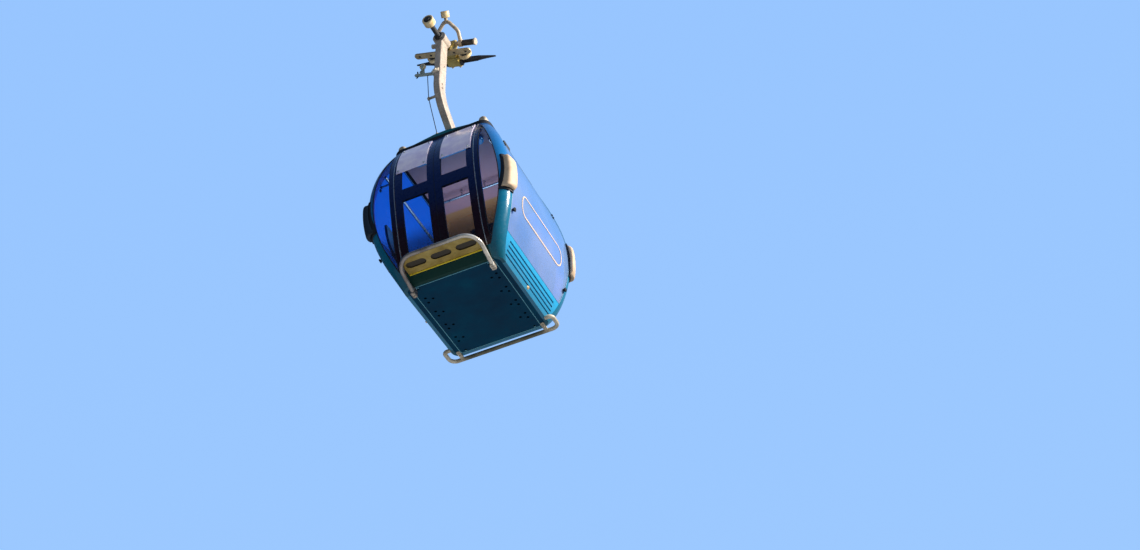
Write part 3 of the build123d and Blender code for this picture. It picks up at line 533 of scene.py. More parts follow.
plates = {  # low, middle and high tone
    "ochrePlate": ((0.14, 0.10, 0.022), (0.24, 0.17, 0.045), (0.34, 0.26, 0.09)),
    "stepPaint": ((0.24, 0.15, 0.022), (0.36, 0.24, 0.045), (0.46, 0.33, 0.09)),
    "gripCasting": ((0.22, 0.145, 0.024), (0.38, 0.27, 0.060), (0.54, 0.41, 0.13)),
    "driveTaupe": ((0.26, 0.18, 0.08), (0.42, 0.31, 0.16), (0.56, 0.44, 0.27)),
}
plateStain = (0.06, 0.045, 0.02)
# tone is a painted shade and dirt for the oval holes' walls
stepHoles = {"low": 0.0915, "high": 0.1035, "x": 0.44, "y": (-1.0, -0.80), "tone": (0.040, 0.028, 0.013)}


def platePaint(name, isStep=False):
    paint = Paint(name, Metallic=0.2)
    tone = paint.ramp(paint.noise(7, 6, 0.6), list(zip((0.3, 0.5, 0.7), plates[name])))
    stain = paint.noise(24, 6, 0.65).between(0.54, 0.76)
    tone = paint.mix(stain * 0.5, tone, plateStain)
    relief = paint.noise(120, 4)
    if isStep:  # painted shade and dirt on the walls of its oval holes, and a tread
        wall = paint.height.above(stepHoles["low"], 0.001) * paint.height.below(stepHoles["high"], 0.001)
        row = paint.y.above(stepHoles["y"][0], 0.004) * paint.y.below(stepHoles["y"][1])
        inHole = wall * row * abs(paint.x).below(stepHoles["x"], 0.004)
        tone = paint.mix(inHole, tone, stepHoles["tone"])
        relief = relief + paint.cells(120).between(0.1, 0.5) * 0.5
    paint.put("Base Color", tone)
    paint.put("Roughness", stain * 0.2 + 0.45)
    paint.bump(relief, 0.2, 0.0008)
    return paint.material


tubes = {  # painted dark and bright: a dark and a light tone each, the dark ones a painted shade or a painted reflection
    "barOlive": {
        "paintedDark": ((0.075, 0.070, 0.038), (0.17, 0.155, 0.095)),
        "bright": ((0.36, 0.30, 0.20), (0.68, 0.59, 0.44)),
        "brightAt": lambda paint: abs(paint.x).above(0.50, 0.05),  # the two looped ends, painted as lit; the middle is a painted shade
        "metallic": 0.1, "rough": 0.4,
    },
    "stepCream": {
        "paintedDark": ((0.19, 0.155, 0.135), (0.36, 0.31, 0.28)),
        "bright": ((0.46, 0.40, 0.32), (0.80, 0.72, 0.60)),
        "brightAt": lambda paint: paint.x.between(-0.20, 0.40),  # the front half; the rear half is a painted reflection of the dark floor
        "metallic": 0.6, "rough": 0.26,
    },
}
tubeRust = (0.20, 0.11, 0.04)


def tubePaint(name):
    facts = tubes[name]
    paint = Paint(name, Metallic=facts["metallic"])
    cloud = paint.noise(9, 5, 0.6).between(0.3, 0.7)
    # share is where the tube is painted bright rather than painted dark
    share = facts["brightAt"](paint)
    tones = [paint.mix(share, *pair) for pair in zip(facts["paintedDark"], facts["bright"])]
    stain = paint.noise(15, 6, 0.65).between(0.55, 0.78)
    paint.put("Base Color", paint.mix(stain * 0.35, paint.mix(cloud, *tones), tubeRust))
    paint.put("Roughness", stain * 0.2 + facts["rough"])
    paint.bump(paint.noise(140, 4), 0.16, 0.0006)
    return paint.material


wheelTones = {
    "stops": [(0.3, (0.60, 0.37, 0.12)), (0.5, (0.70, 0.52, 0.27)), (0.75, (0.80, 0.67, 0.44))],
    "grease": (0.46, 0.20, 0.03),
}


def wheelPlastic():
    paint = Paint("wheelPlastic", Coat_Weight=0.2, Coat_Roughness=0.25)
    tone = paint.ramp(paint.noise(20, 5, 0.6), wheelTones["stops"])
    grease = paint.noise(34, 5, 0.6).between(0.56, 0.76)
    paint.put("Base Color", paint.mix(grease * 0.65, tone, wheelTones["grease"]))
    paint.put("Roughness", grease * 0.2 + 0.35)
    paint.bump(paint.noise(150, 3), 0.2, 0.0006)
    return paint.material


def benchPlastic():
    paint = Paint("benchPlastic", Specular_IOR_Level=0.45)
    speckle = paint.cells(380).between(0.1, 0.6)
    cloud = paint.noise(6, 4).between(0.3, 0.7)
    tone = paint.mix(cloud, (0.17, 0.155, 0.15), (0.23, 0.21, 0.20))
    paint.put("Base Color", paint.mix(speckle * 0.35, tone, (0.10, 0.095, 0.09)))
    paint.put("Roughness", cloud * 0.12 + 0.5)
    paint.bump(speckle, 0.2, 0.0005)
    return paint.material


weave = {
    "pitch": 0.0035, "warp": (0.045, 0.055, 0.13), "weft": (0.085, 0.09, 0.15), "worn": (0.14, 0.14, 0.17),
}


def seatCloth():
    paint = Paint("seatCloth", Sheen_Weight=0.25, Specular_IOR_Level=0.25)
    turns = math.pi / weave["pitch"]
    across = abs((paint.y * turns).maths("SINE"))
    along = abs(((paint.x + paint.z) * turns).maths("SINE"))
    over = (across - along).between(-0.4, 0.4)
    worn = paint.noise(5, 5, 0.6).between(0.45, 0.75)
    tone = paint.mix(over, weave["warp"], weave["weft"])
    paint.put("Base Color", paint.mix(worn * 0.35, tone, weave["worn"]))
    paint.put("Roughness", worn * -0.12 + 0.85)
    paint.bump(across.maths("MAXIMUM", along), 0.35, 0.0006)
    return paint.material


def cableBlack():
    paint = Paint("cableBlack", Roughness=0.5)
    worn = paint.noise(60, 4).between(0.45, 0.75)
    paint.put("Base Color", paint.mix(worn, (0.008, 0.012, 0.03), (0.03, 0.045, 0.09)))
    paint.bump(worn, 0.2, 0.0003)
    return paint.material


flecks = {  # fresh and worn
    "blueRubber": ((0.03, 0.14, 0.28), (0.07, 0.20, 0.34)),
    "beadPaint": ((0.10, 0.32, 0.38), (0.24, 0.48, 0.54)),
    "clampCream": ((0.74, 0.64, 0.50), (0.42, 0.31, 0.20)),
    "stripePaint": ((0.64, 0.46, 0.32), (0.48, 0.40, 0.38)),
    "yellowPaint": ((0.90, 0.66, 0.02), (0.50, 0.36, 0.04)),
}


def flecked(name, rough=0.5):
    paint = Paint(name)
    worn = paint.noise(55, 5, 0.6).between(0.5, 0.74)
    paint.put("Base Color", paint.mix(worn, *flecks[name]))
    paint.put("Roughness", worn * 0.15 + rough)
    paint.bump(worn, 0.15, 0.0004)
    return paint.material


finishes = {
    "hoop_paint": hoopPaint(),
    "skirt_paint": skirtPaint(),
    "dark_paint": darkPaint(),
    "floor_paint": floorPaint(),
    "tinted_glass": tintedGlass(),
    "end_glass": endGlass(),
    "vent_plastic": ventPlastic(),
    "ceiling_plastic": ceilingPlastic(),
    "black_trim": blackTrim(),
    "pad_rubber": padRubber(),
    "galvanised": steel("galvanised"),
    "rail_steel": steel("railSteel"),
    "ochre_plate": platePaint("ochrePlate"),
    "grip_steel": steel("gripSteel"),
    "dark_steel": steel("darkSteel"),
    "wheel_plastic": wheelPlastic(),
    "bench_plastic": benchPlastic(),
    "seat_cover": seatCloth(),
    "cable_black": cableBlack(),
}
ownFinish = {
    "roof_cap": roofPaint(),
    "step_plate": platePaint("stepPaint", True),
    "hanger_arm": steel("armSteel"),
    "grip_body": platePaint("gripCasting"),
    "drive_plate": platePaint("driveTaupe"),
    "hanger_beam": finishes["dark_steel"],
    "back_bar": tubePaint("barOlive"),
    "step_tube": tubePaint("stepCream"),
    "door_lever": steel("leverGrey"),
}


# finishes on the CAD nodes
slotOf = {part["node"]: part["material_slot"] for part in frame["record"]["subparts"]}
for name, node in frame["nodes"].items():
    node.data.materials.clear()
    node.data.materials.append(ownFinish.get(name) or finishes[slotOf[name]])
print("finishes on", len(slotOf), "nodes")


# the door cable
cable = {
    "route": (
        (-0.15935, -0.550, -0.68423), (-0.150, -0.585, -0.960), (-0.128, -0.640, -1.190),
        (-0.084, -0.668, -1.500), (-0.060, -0.630, -1.7928),
    ),
    "diameter": 0.010,
    "steps": 12,
    "roundness": 4,
}


def addCable():
    curve = bpy.data.curves.new("doorCable", "CURVE")
    curve.dimensions = "3D"
    spline = curve.splines.new("NURBS")
    spline.points.add(len(cable["route"]) - 1)
    for point, place in zip(spline.points, cable["route"]):
        point.co = (*place, 1)
    spline.order_u = 3
    spline.use_endpoint_u = True
    spline.resolution_u = cable["steps"]
    piece = placed("doorCable", curve)
    places = [vertex.co.copy() for vertex in bpy.data.meshes.new_from_object(piece).vertices]
    curve.bevel_depth = cable["diameter"] / 2
    curve.bevel_resolution = cable["roundness"]
    curve.use_fill_caps = True
    curve.materials.append(finishes["cable_black"])
    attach(piece, "cabin")
    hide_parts("door_cable")


addCable()


# tools for new pieces
def soloSelect(*chosen):
    if bpy.context.object and bpy.context.object.mode != "OBJECT":
        bpy.ops.object.mode_set(mode="OBJECT")
    bpy.ops.object.select_all(action="DESELECT")
    for piece in chosen:
        piece.select_set(True)
    bpy.context.view_layer.objects.active = chosen[0]


def pick(piece, kind, test):  # picks faces or points by a test and leaves the piece in edit mode
    soloSelect(piece)
    bpy.ops.object.mode_set(mode="EDIT")
    bpy.ops.mesh.select_mode(type=kind)
    bpy.ops.mesh.select_all(action="DESELECT")
    bpy.ops.object.mode_set(mode="OBJECT")
    for item in piece.data.polygons if kind == "FACE" else piece.data.vertices:
        item.select = bool(test(item))
    bpy.ops.object.mode_set(mode="EDIT")


def keepFaces(piece, test):  # leaves the piece in edit mode too
    pick(piece, "FACE", lambda face: not test(face))
    bpy.ops.mesh.delete(type="FACE")


def outOfEdit():
    bpy.ops.object.mode_set(mode="OBJECT")
    return bpy.context.object


def applied(piece, kind, **settings):
    soloSelect(piece)
    modifier = piece.modifiers.new(kind.title(), kind)
    for key, value in settings.items():
        setattr(modifier, key, value)
    bpy.ops.object.modifier_apply(modifier=modifier.name)


def rounded(piece, width, segments=3):
    applied(piece, "BEVEL", width=width, segments=segments)


def settle():  # puts place, turn and size into the mesh, as a CAD node has them
    bpy.ops.object.transform_apply(location=True, rotation=True, scale=True)


def aim(piece, place, way):  # puts a piece at a place and turns its Z that way
    turn = Vector(way).to_track_quat("Z", "Y").to_matrix().to_4x4()
    piece.matrix_world = Matrix.Translation(place) @ turn


def copyOf(node, name):  # a merged copy of a CAD node's mesh, to shape a piece from
    piece = placed(name, frame["nodes"][node].data.copy())
    pick(piece, "FACE", lambda face: True)
    bpy.ops.mesh.customdata_custom_splitnormals_clear()
    bpy.ops.mesh.remove_doubles(threshold=0.00004)
    return outOfEdit()


def finishPiece(piece, name, slot, material=None, body="cabin", smooth=40):
    soloSelect(piece)
    settle()
    bpy.ops.object.shade_smooth_by_angle(angle=math.radians(smooth))
    piece.name = name
    piece.data.name = name
    piece.data.materials.clear()
    piece.data.materials.append(material or finishes[slot])
    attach(piece, body)


def cylinder(radius, depth, middle=(0, 0, 0), corners=32):
    bpy.ops.mesh.primitive_cylinder_add(vertices=corners, radius=radius, depth=depth, location=middle)
    return bpy.context.object


def bar(size, middle, rotation=(0, 0, 0)):
    bpy.ops.mesh.primitive_cube_add(size=1, location=middle, rotation=rotation)
    bpy.context.object.scale = size
    settle()
    return bpy.context.object


def joined(*pieces):
    soloSelect(*pieces)
    if len(pieces) > 1:
        bpy.ops.object.join()
    settle()
    return bpy.context.object


def onSurface(node, start, way):  # where a line meets a CAD node, and which way the surface faces
    hit, point, normal, _ = frame["nodes"][node].ray_cast(Vector(start), Vector(way).normalized())
    if not hit:
        raise ValueError(f"no {node} at {start}")
    if normal.dot(Vector(way)) > 0:
        normal = -normal
    return point, normal


def atHeight(height):
    return floorUnderside + height


ropeSlope = math.radians(19)
sides = (-1, 1)
farOut = 1.6  # how far off a search for a surface starts
hair = 0.001  # room for rounding when faces are picked by their place
level = 0.9  # how far up or down a face looks that counts as level


def alongRope(along, across, square):
    cos, sin = math.cos(ropeSlope), math.sin(ropeSlope)
    return Vector((along * cos + square * sin, across, square * cos - along * sin))


# rubber seals round the glass, the floor's bead and the arm's weld
seal = {"radius": 0.0065, "paneRadius": 0.00585, "roundness": 2, "facing": 0.6}
floorBead = {"radius": 0.0045, "margin": 0.03}
weldRadius = 0.006


def addSeal(name, node, way, radius, slot="black_trim", material=None, keep=None):
    piece = copyOf(node, name)
    keepFaces(piece, lambda face: face.normal.dot(Vector(way)) >= seal["facing"])
    bpy.ops.mesh.select_mode(type="EDGE")
    bpy.ops.mesh.select_all(action="DESELECT")
    bpy.ops.mesh.select_non_manifold(
        extend=False, use_wire=False, use_boundary=True, use_multi_face=False,
        use_non_contiguous=False, use_verts=False,
    )
    bpy.ops.mesh.select_all(action="INVERT")
    bpy.ops.mesh.delete(type="EDGE")
    outOfEdit()
    if keep:
        pick(piece, "VERT", lambda point: not keep(point.co))
        bpy.ops.mesh.delete(type="VERT")
        outOfEdit()
    soloSelect(piece)
    bpy.ops.object.convert(target="CURVE")
    curve = bpy.context.object.data
    curve.bevel_depth = radius
    curve.bevel_resolution = seal["roundness"]
    bpy.ops.object.convert(target="MESH")
    finishPiece(bpy.context.object, name, slot, material)


def addSeals():
    rubber = flecked("blueRubber")
    addSeal("sealEndFront", "end_window_front", (1, 0, 0), seal["radius"], material=rubber)
    addSeal("sealEndRear", "end_window_rear", (-1, 0, 0), seal["radius"], material=rubber)
    addSeal("sealBack", "back_window", (0, 1, 0), seal["radius"])
    addSeal("sealQuarters", "quarter_windows", (0, -1, 0), seal["radius"])
    addSeal("sealPanes", "door_panes", (0, -1, 0), seal["paneRadius"])
    floorLow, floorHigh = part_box("floor_pan")
    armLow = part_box("hanger_arm")[0]
    edge = floorHigh - Vector((floorBead["margin"], floorBead["margin"], 0))

    def onRim(place):
        return (abs(place.x) > edge.x or abs(place.y) > edge.y) and place.z < floorLow.z + hair

    def atFoot(place):
        return place.z < armLow.z + hair

    down = (0, 0, -1)
    paint = flecked("beadPaint")
    addSeal("floorBead", "floor_pan", down, floorBead["radius"], "skirt_paint", paint, onRim)
    addSeal("armWeld", "hanger_arm", down, weldRadius, "galvanised", None, atFoot)


# bolts and knobs
headShapes = {  # all but the corners and rings are shares of the radius
    "hex": {"wide": 1, "tall": 0.85, "middle": 0.725, "round": 0.14, "corners": 6, "rings": 2},
    "round": {"wide": 1, "tall": 0.85, "middle": 0.725, "round": 0.4, "corners": 16, "rings": 4},
    "washer": {"wide": 1.7, "tall": 0.48, "middle": 0.06, "round": 0.09, "corners": 20, "rings": 2},
    "cap": {"wide": 1, "tall": 0.7, "middle": 0.95, "round": 0.28, "corners": 24, "rings": 4},
    "stem": {"wide": 0.62, "tall": 0.8, "middle": 0.3, "corners": 24},
}
headSink = 0.0002  # how far a bolt's head sinks into its washer


def turned(kind, radius, sink=0):  # a round or six-sided form that stands on the origin
    shape = headShapes[kind]
    middle = (0, 0, radius * shape["middle"] - sink)
    piece = cylinder(radius * shape["wide"], radius * shape["tall"], middle, shape["corners"])
    if "round" in shape:
        rounded(piece, radius * shape["round"], shape["rings"])
    return piece


def fastener(radius, kind="hex"):  # a head on its washer
    return joined(turned("washer", radius), turned(kind, radius, headSink))


def knob(radius):
    return joined(turned("cap", radius), turned("stem", radius))


def spread(model, name, spots, slot, material=None, body="cabin"):  # one piece from copies of a model
    copies = []
    for point, way in spots:
        copied = placed("copy", model.data.copy())
        aim(copied, point, way)
        copies.append(copied)
    bpy.data.objects.remove(model)
    finishPiece(joined(*copies), name, slot, material, body, 30)


ventBolts = {"x": (0.115, 0.435), "heights": (1.51, 1.98), "radius": 0.0085}
endStops = {"spots": ((-0.722, 0.54), (0.741, 0.48)), "radius": 0.026}
railBolts = {"y": 0.70, "heights": (1.575, 1.620), "radius": 0.012}
skirtPlug = {"y": 0.011, "height": 0.045, "radius": 0.013}
underBolts = {
    "step_tube": {"x": 0.476, "y": (-0.645, -0.605)},
    "back_bar": {"x": 0.525, "y": (0.625, 0.665)},
    "radius": 0.009, "from": -0.6,
}
armBolts = {"places": ((-0.498, -0.587), (-0.605, -0.987), (-0.615, -1.066)), "radius": 0.009}
footBolts = {"x": 0.088, "y": 0.115, "in": 0.150, "radius": 0.015}
beamBolts = {"x": 0.52, "y": 0.05, "radius": 0.012}


def onEnd(way, piece, y, height):  # where a line from outside meets an end of the body
    end = "front" if way > 0 else "rear"
    return onSurface(f"{piece}_{end}", (way * farOut, y, atHeight(height)), (-way, 0, 0))


def addCabinFasteners():
    ends = (1, -1)
    spots = [
        onSurface("vent_covers", (side * x, -farOut, atHeight(height)), (0, 1, 0))
        for side in sides for x in ventBolts["x"] for height in ventBolts["heights"]
    ]
    spread(fastener(ventBolts["radius"], "round"), "ventBolts", spots, "rail_steel")
    stops = [onEnd(way, "end_window", y * way, height) for way in ends for y, height in endStops["spots"]]
    mounts = [
        onEnd(way, "end_window", side * railBolts["y"], height)
        for way in ends for height in railBolts["heights"] for side in sides
    ]
    plugs = [onEnd(way, "end_skirt", skirtPlug["y"] * way, skirtPlug["height"]) for way in ends]
    spread(knob(endStops["radius"]), "endStops", stops, "black_trim")
    spread(fastener(railBolts["radius"], "round"), "railBolts", mounts, "black_trim")
    spread(fastener(skirtPlug["radius"], "round"), "skirtPlugs", plugs, "wheel_plastic")
    under = [
        onSurface(node, (side * underBolts[node]["x"], y, atHeight(underBolts["from"])), (0, 0, 1))
        for side in sides for node in ("step_tube", "back_bar") for y in underBolts[node]["y"]
    ]
    spread(fastener(underBolts["radius"]), "underBolts", under, "galvanised")


def addHangerFasteners():
    onArm = [
        onSurface("hanger_arm", (side * farOut, y, z), (-side, 0, 0))
        for y, z in armBolts["places"] for side in sides
    ]
    spread(fastener(armBolts["radius"]), "armBolts", onArm, "galvanised", ownFinish["hanger_arm"])
    low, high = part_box("hanger_beam")
    foot = low.y + footBolts["in"]
    for name, facts, middle in (("footBolts", footBolts, foot), ("beamBolts", beamBolts, 0)):
        places = [
            (left * facts["x"], middle + back * facts["y"], high.z + farOut)
            for left in sides for back in sides
        ]
        spots = [onSurface("hanger_beam", place, (0, 0, -1)) for place in places]
        spread(fastener(facts["radius"]), name, spots, "galvanised")


# wheels and rollers
wheelShape = {"edge": 0.008, "sink": 0.006, "hub": 0.026, "corners": 56, "round": 0.0013, "sharp": 50}
runningWheel = {
    "along": 0.222, "across": -0.160, "square": -0.030, "radius": 0.084, "wide": 0.046, "rim": 0.021,
}
guideRoller = {"across": -0.760, "radius": 0.073, "wide": 0.092, "rim": 0.020}
leverRoller = {
    "across": -0.500, "square": 0.354, "radius": 0.053, "wide": 0.084, "rim": 0.013, "way": (0, -0.28, 0.254),
}
yokeCollar = {"radius": 0.022, "tall": 0.038, "below": 0.063, "round": 0.005}


def wheel(radius, wide, rim):  # a tyre, a sunk web and a hub, turned about Z
    piece = cylinder(radius, wide, corners=wheelShape["corners"])
    pick(piece, "FACE", lambda face: abs(face.normal.z) > level)
    bpy.ops.mesh.bevel(offset=wheelShape["edge"], segments=4, affect="EDGES")
    outOfEdit()
    tyre = rim - wheelShape["edge"] / 2
    web = radius - rim - wheelShape["edge"] / 2
    for inset, push in ((tyre, -wheelShape["sink"]), (web - wheelShape["hub"], wheelShape["sink"])):
        pick(piece, "FACE", lambda face: abs(face.normal.z) > level and face.center.xy.length < hair)
        bpy.ops.mesh.inset(thickness=inset)
        bpy.ops.mesh.extrude_region_shrink_fatten(TRANSFORM_OT_shrink_fatten={"value": push})
        outOfEdit()
    sharp = math.radians(wheelShape["sharp"])
    applied(piece, "BEVEL", width=wheelShape["round"], segments=2, angle_limit=sharp)
    return piece


def mountWheel(name, body, facts, centre, way, node=None):
    piece = wheel(facts["radius"], facts["wide"], facts["rim"])
    inner = facts["radius"] - facts["rim"] - hair
    hubFaces = [face.index for face in piece.data.polygons if face.center.xy.length < inner]
    aim(piece, centre, way)
    finishPiece(piece, name, "wheel_plastic", None, body, 35)
    piece.data.materials.append(finishes["dark_steel"])
    for index in hubFaces:
        piece.data.polygons[index].material_index = 1
    if node:
        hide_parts(node)


def addWheels():
    toDoors = (0, -1, 0)
    for end, way in (("Front", 1), ("Rear", -1)):
        centre = alongRope(way * runningWheel["along"], runningWheel["across"], runningWheel["square"])
        node = f"running_wheel_{end.lower()}"
        mountWheel(f"runningWheel{end}", node, runningWheel, centre, toDoors, node)
    centre = alongRope(0, guideRoller["across"], 0)
    mountWheel("guideRoller", "guide_roller", guideRoller, centre, toDoors, "guide_roller")
    centre = alongRope(0, leverRoller["across"], leverRoller["square"])
    way = alongRope(*leverRoller["way"])
    mountWheel("leverRoller", "lever_roller", leverRoller, centre, way, "lever_roller")
    collar = cylinder(yokeCollar["radius"], yokeCollar["tall"])
    rounded(collar, yokeCollar["round"])
    aim(collar, centre - way.normalized() * yokeCollar["below"], way)
    finishPiece(collar, "yokeCollar", slotOf["clamp_lever"], body="clamp")


# the grip's and the door lever's small parts
plateBolts = {"along": (-0.36, -0.20, 0.13, 0.29), "across": -0.258, "from": -0.5, "radius": 0.009}
gripBolts = {"along": (-0.055, 0.055), "from": 0.6, "square": -0.028, "radius": 0.014}
doorRoller = {"middle": (-0.214, -0.550, -0.505), "radius": 0.038, "wide": 0.040, "rim": 0.012}
fork = {"size": (0.024, 0.005, 0.100), "gap": 0.005, "back": 0.002, "drop": 0.042, "round": 0.002}
leverClamp = {
    "middle": (-0.018, -0.628, -0.735), "size": (0.078, 0.014, 0.066), "lean": -0.19, "round": 0.003,
    "bolt": 0.017, "boltIn": 0.001,
}
latch = {
    "top": (-0.286, -0.550, -0.600), "size": (0.016, 0.012, 0.085), "foot": (-0.018, 0, -0.022),
    "round": 0.003,
}


def addGripParts():
    up = alongRope(0, 0, 1)
    spots = [
        onSurface("drive_plate", alongRope(along, plateBolts["across"], plateBolts["from"]), up)
        for along in plateBolts["along"]
    ]
    spread(fastener(plateBolts["radius"]), "plateBolts", spots, "dark_steel", body="grip")
    spots = [
        onSurface("grip_body", alongRope(along, gripBolts["from"], gripBolts["square"]), (0, -1, 0))
        for along in gripBolts["along"]
    ]
    spread(fastener(gripBolts["radius"]), "gripBolts", spots, "galvanised", body="grip")


def addDoorLever():
    mountWheel("doorRoller", "cabin", doorRoller, doorRoller["middle"], (0, -1, 0))
    x, y, z = doorRoller["middle"]
    cheeks = []
    for side in sides:
        away = side * (doorRoller["wide"] / 2 + fork["gap"])
        cheek = bar(fork["size"], (x - fork["back"], y + away, z - fork["drop"]))
        rounded(cheek, fork["round"], 2)
        cheeks.append(cheek)
    finishPiece(joined(*cheeks), "rollerFork", "galvanised", ownFinish["door_lever"])
    lean = leverClamp["lean"]
    plate = bar(leverClamp["size"], leverClamp["middle"], (lean, 0, 0))
    rounded(plate, leverClamp["round"])
    cream = flecked("clampCream")
    finishPiece(plate, "leverClamp", "galvanised", cream)
    outward = Vector((0, -math.cos(lean), -math.sin(lean)))
    face = Vector(leverClamp["middle"]) + outward * (leverClamp["size"][1] / 2 - leverClamp["boltIn"])
    spread(fastener(leverClamp["bolt"]), "leverBolt", [(face, outward)], "galvanised", cream)
    handle = bar(latch["size"], latch["top"])
    pick(handle, "FACE", lambda face: face.normal.z < -level)
    bpy.ops.mesh.extrude_region_move(TRANSFORM_OT_translate={"value": latch["foot"]})
    outOfEdit()
    rounded(handle, latch["round"])
    finishPiece(handle, "latchHandle", "black_trim")


# the bumper pads and the cushions
bumper = {"voxel": 0.006, "rounds": 70, "smoothing": 0.6, "shorter": 0.93, "lift": 0.006}
cushion = {
    "voxel": 0.008, "pressure": 4.0, "frames": 20, "cap": 0.007, "shrink": 0.985,
    "rounds": 6, "smoothing": 0.5, "seams": (-0.355, 0.0, 0.355), "seamDepth": 0.007, "seamWidth": 0.007,
    "crown": 0.012,  # above its middle, where the seams reach their full depth
    "clear": 0.0005,
}


def addBumpers():
    piece = copyOf("pads", "bumperPads")
    low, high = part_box("pads")
    middle = (low.z + high.z) / 2 + bumper["lift"]
    for vertex in piece.data.vertices:
        vertex.co.z = middle + (vertex.co.z - middle) * bumper["shorter"]
    applied(piece, "REMESH", mode="VOXEL", voxel_size=bumper["voxel"])
    applied(piece, "SMOOTH", factor=bumper["smoothing"], iterations=bumper["rounds"])
    finishPiece(piece, "bumperPads", "pad_rubber", smooth=60)
    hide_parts("pads")


def puffUp(piece):
    start = [vertex.co.copy() for vertex in piece.data.vertices]
    soloSelect(piece)
    cloth = piece.modifiers.new("Cloth", "CLOTH")
    cloth.settings.use_pressure = True
    cloth.settings.uniform_pressure_force = cushion["pressure"]
    cloth.settings.effector_weights.gravity = 0
    cloth.point_cache.frame_end = cushion["frames"]
    for step in range(1, cushion["frames"] + 1):
        bpy.context.scene.frame_set(step)
    bpy.ops.object.modifier_apply(modifier=cloth.name)
    bpy.context.scene.frame_set(1)
    for vertex, was in zip(piece.data.vertices, start):
        moved = vertex.co - was
        if moved.length > cushion["cap"]:
            vertex.co = was + moved.normalized() * cushion["cap"]


def addCushions():
    for end in ("front", "rear"):
        name = "cushion" + end.title()
        piece = copyOf(f"seat_{end}", name)
        low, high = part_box(f"seat_{end}")
        centre = (low + high) / 2
        for vertex in piece.data.vertices:
            vertex.co = centre + (vertex.co - centre) * cushion["shrink"]
        applied(piece, "REMESH", mode="VOXEL", voxel_size=cushion["voxel"])
        applied(piece, "SMOOTH", factor=cushion["smoothing"], iterations=cushion["rounds"])
        puffUp(piece)
        for vertex in piece.data.vertices:
            top = min(1.0, max(0.0, (vertex.co.z - centre.z) / cushion["crown"]))
            for y in cushion["seams"]:
                dip = math.exp(-(((vertex.co.y - y) / cushion["seamWidth"]) ** 2))
                vertex.co.z -= cushion["seamDepth"] * dip * top
            vertex.co.z = max(vertex.co.z, low.z + cushion["clear"])
        finishPiece(piece, name, "seat_cover", smooth=70)
        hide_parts(f"seat_{end}")


# trims on the doors, the windows and the step
leafSeal = {"thick": 0.0026, "reach": 0.006, "facing": 0.95}
postTrim = {"thick": 0.0025, "outer": 0.501, "facing": 0.6}
pinstripe = {
    "height": 0.79, "tall": 0.29, "y": 0.03, "wide": 1.12, "corner": 0.12, "arcs": 9, "line": 0.017,
    "lift": 0.0030, "thick": 0.0012, "cuts": 10, "from": 1.2, "rough": 0.4,
}
edging = {"y": -0.770, "height": 0.0835, "half": 0.446, "wide": 0.016, "thick": 0.012, "round": 0.0018}


def addDoorTrims():
    for end, way in (("rear", -1), ("front", 1)):
        piece = copyOf(f"door_leaf_{end}", "leafSeal")
        facing = -leafSeal["facing"]
        keepFaces(piece, lambda face: face.normal.x * way < facing and abs(face.center.x) < leafSeal["reach"])
        outOfEdit()
        applied(piece, "SOLIDIFY", thickness=leafSeal["thick"], offset=1)
        finishPiece(piece, "leafSeal" + end.title(), "black_trim")
        piece = copyOf("door_posts", "postTrim")
        keepFaces(piece, lambda face: face.normal.y <= -postTrim["facing"] and face.center.x * way >= 0)
        bpy.ops.mesh.select_all(action="SELECT")
        bpy.ops.mesh.bisect(plane_co=(way * postTrim["outer"], 0, 0), plane_no=(way, 0, 0), clear_outer=True)
        outOfEdit()
        applied(piece, "SOLIDIFY", thickness=postTrim["thick"], offset=1)
        finishPiece(piece, "postTrim" + end.title(), "rail_steel")


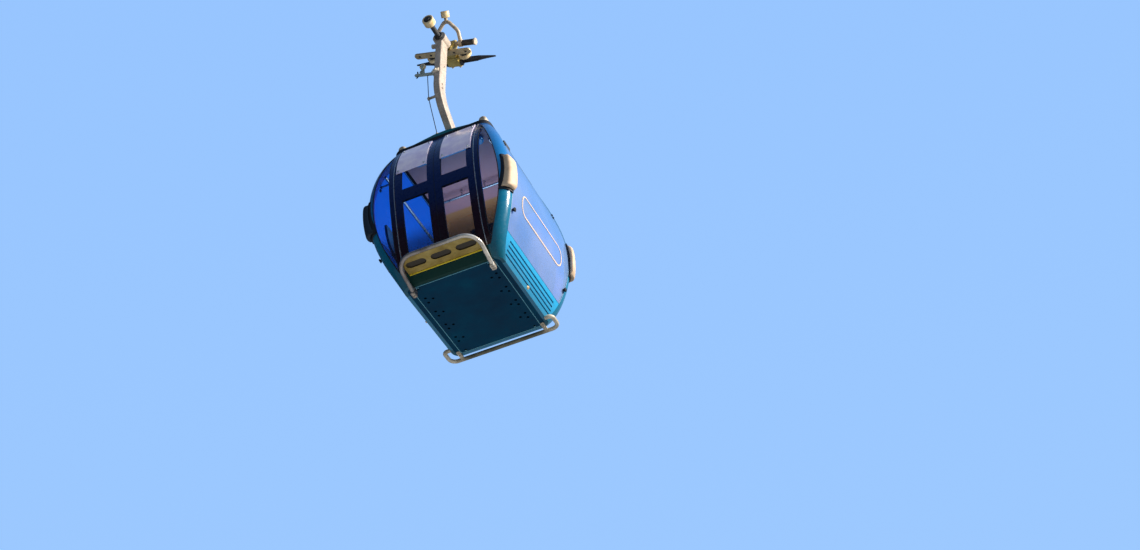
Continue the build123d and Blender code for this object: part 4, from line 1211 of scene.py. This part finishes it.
def addPinstripes():
    paint = flecked("stripePaint", pinstripe["rough"])
    for end, way in (("front", 1), ("rear", -1)):
        bpy.ops.mesh.primitive_plane_add(
            size=1, location=(way * pinstripe["from"], pinstripe["y"] * way, atHeight(pinstripe["height"])),
            rotation=(0, way * math.pi / 2, 0),
        )
        piece = bpy.context.object
        piece.scale = (pinstripe["tall"], pinstripe["wide"], 1)
        settle()
        pick(piece, "VERT", lambda point: True)
        bpy.ops.mesh.bevel(offset=pinstripe["corner"], segments=pinstripe["arcs"], affect="VERTICES")
        bpy.ops.mesh.select_mode(type="FACE")
        bpy.ops.mesh.select_all(action="SELECT")
        bpy.ops.mesh.inset(thickness=pinstripe["line"])
        bpy.ops.mesh.delete(type="FACE")
        bpy.ops.mesh.select_all(action="SELECT")
        bpy.ops.mesh.subdivide(number_cuts=pinstripe["cuts"])
        outOfEdit()
        applied(
            piece, "SHRINKWRAP", wrap_method="PROJECT", target=frame["nodes"][f"end_window_{end}"],
            use_project_x=True, use_negative_direction=True, use_positive_direction=True,
            offset=pinstripe["lift"], wrap_mode="ABOVE_SURFACE",
        )
        applied(piece, "SOLIDIFY", thickness=pinstripe["thick"], offset=0)
        finishPiece(piece, "pinstripe" + end.title(), "pad_rubber", paint)


def addEdging():
    size = (2 * edging["half"], edging["wide"], edging["thick"])
    piece = bar(size, (0, edging["y"], atHeight(edging["height"])))
    rounded(piece, edging["round"])
    finishPiece(piece, "stepEdging", "ochre_plate", flecked("yellowPaint"))


addSeals()
print("seals made")
addCabinFasteners()
addHangerFasteners()
print("fasteners made")
addWheels()
addGripParts()
addDoorLever()
print("wheels and grip parts made")
addBumpers()
addCushions()
print("pads and cushions made")
addDoorTrims()
addPinstripes()
addEdging()
print("trims made")


# stage, light and sky
def addStage():
    bpy.ops.mesh.primitive_circle_add(
        vertices=stage["floorSides"], radius=stage["floorRadius"], fill_type="NGON",
        location=(0, 0, shot["place"][2] - stage["floorDrop"]),
    )
    floor = bpy.context.object
    floor.name = "stageFloor"
    paint = Paint("stagePale", Roughness=0.9)
    paint.put("Base Color", paint.mix(paint.noise(0.4, 3), *stage["floorTones"]))
    floor.data.materials.append(paint.material)
    addLight("sideLight")
    addLight("cabinLamp")


def addSky():
    world = bpy.data.worlds.new("sky")
    bpy.context.scene.world = world
    world.use_nodes = True
    sky = Nodes(world.node_tree)
    look = sky.node("ShaderNodeTexCoord", out="Generated")
    blue = sky.mix(sky.parts(look)[2], stage["skyLow"], stage["skyHigh"])
    brightWay = Vector(stage["domeWay"]).normalized()
    side = sky.node("ShaderNodeVectorMath", {"operation": "DOT_PRODUCT"}, {0: look, 1: brightWay}, "Value")
    dome = side.between(stage["domeFrom"], 1.0, stage["domeLow"], stage["domeHigh"])
    seen = sky.node("ShaderNodeLightPath", out="Is Camera Ray")
    diffuse = sky.node("ShaderNodeLightPath", out="Is Diffuse Ray")
    ground = sky.tree.nodes["Background"]
    sky.feed(ground.inputs["Color"], sky.mix(diffuse, blue, stage["softLight"]))
    sky.feed(ground.inputs["Strength"], seen + (1 - seen) * dome)
    bpy.context.scene.view_settings.view_transform = "Standard"


addStage()
addSky()
print("stage and light placed")
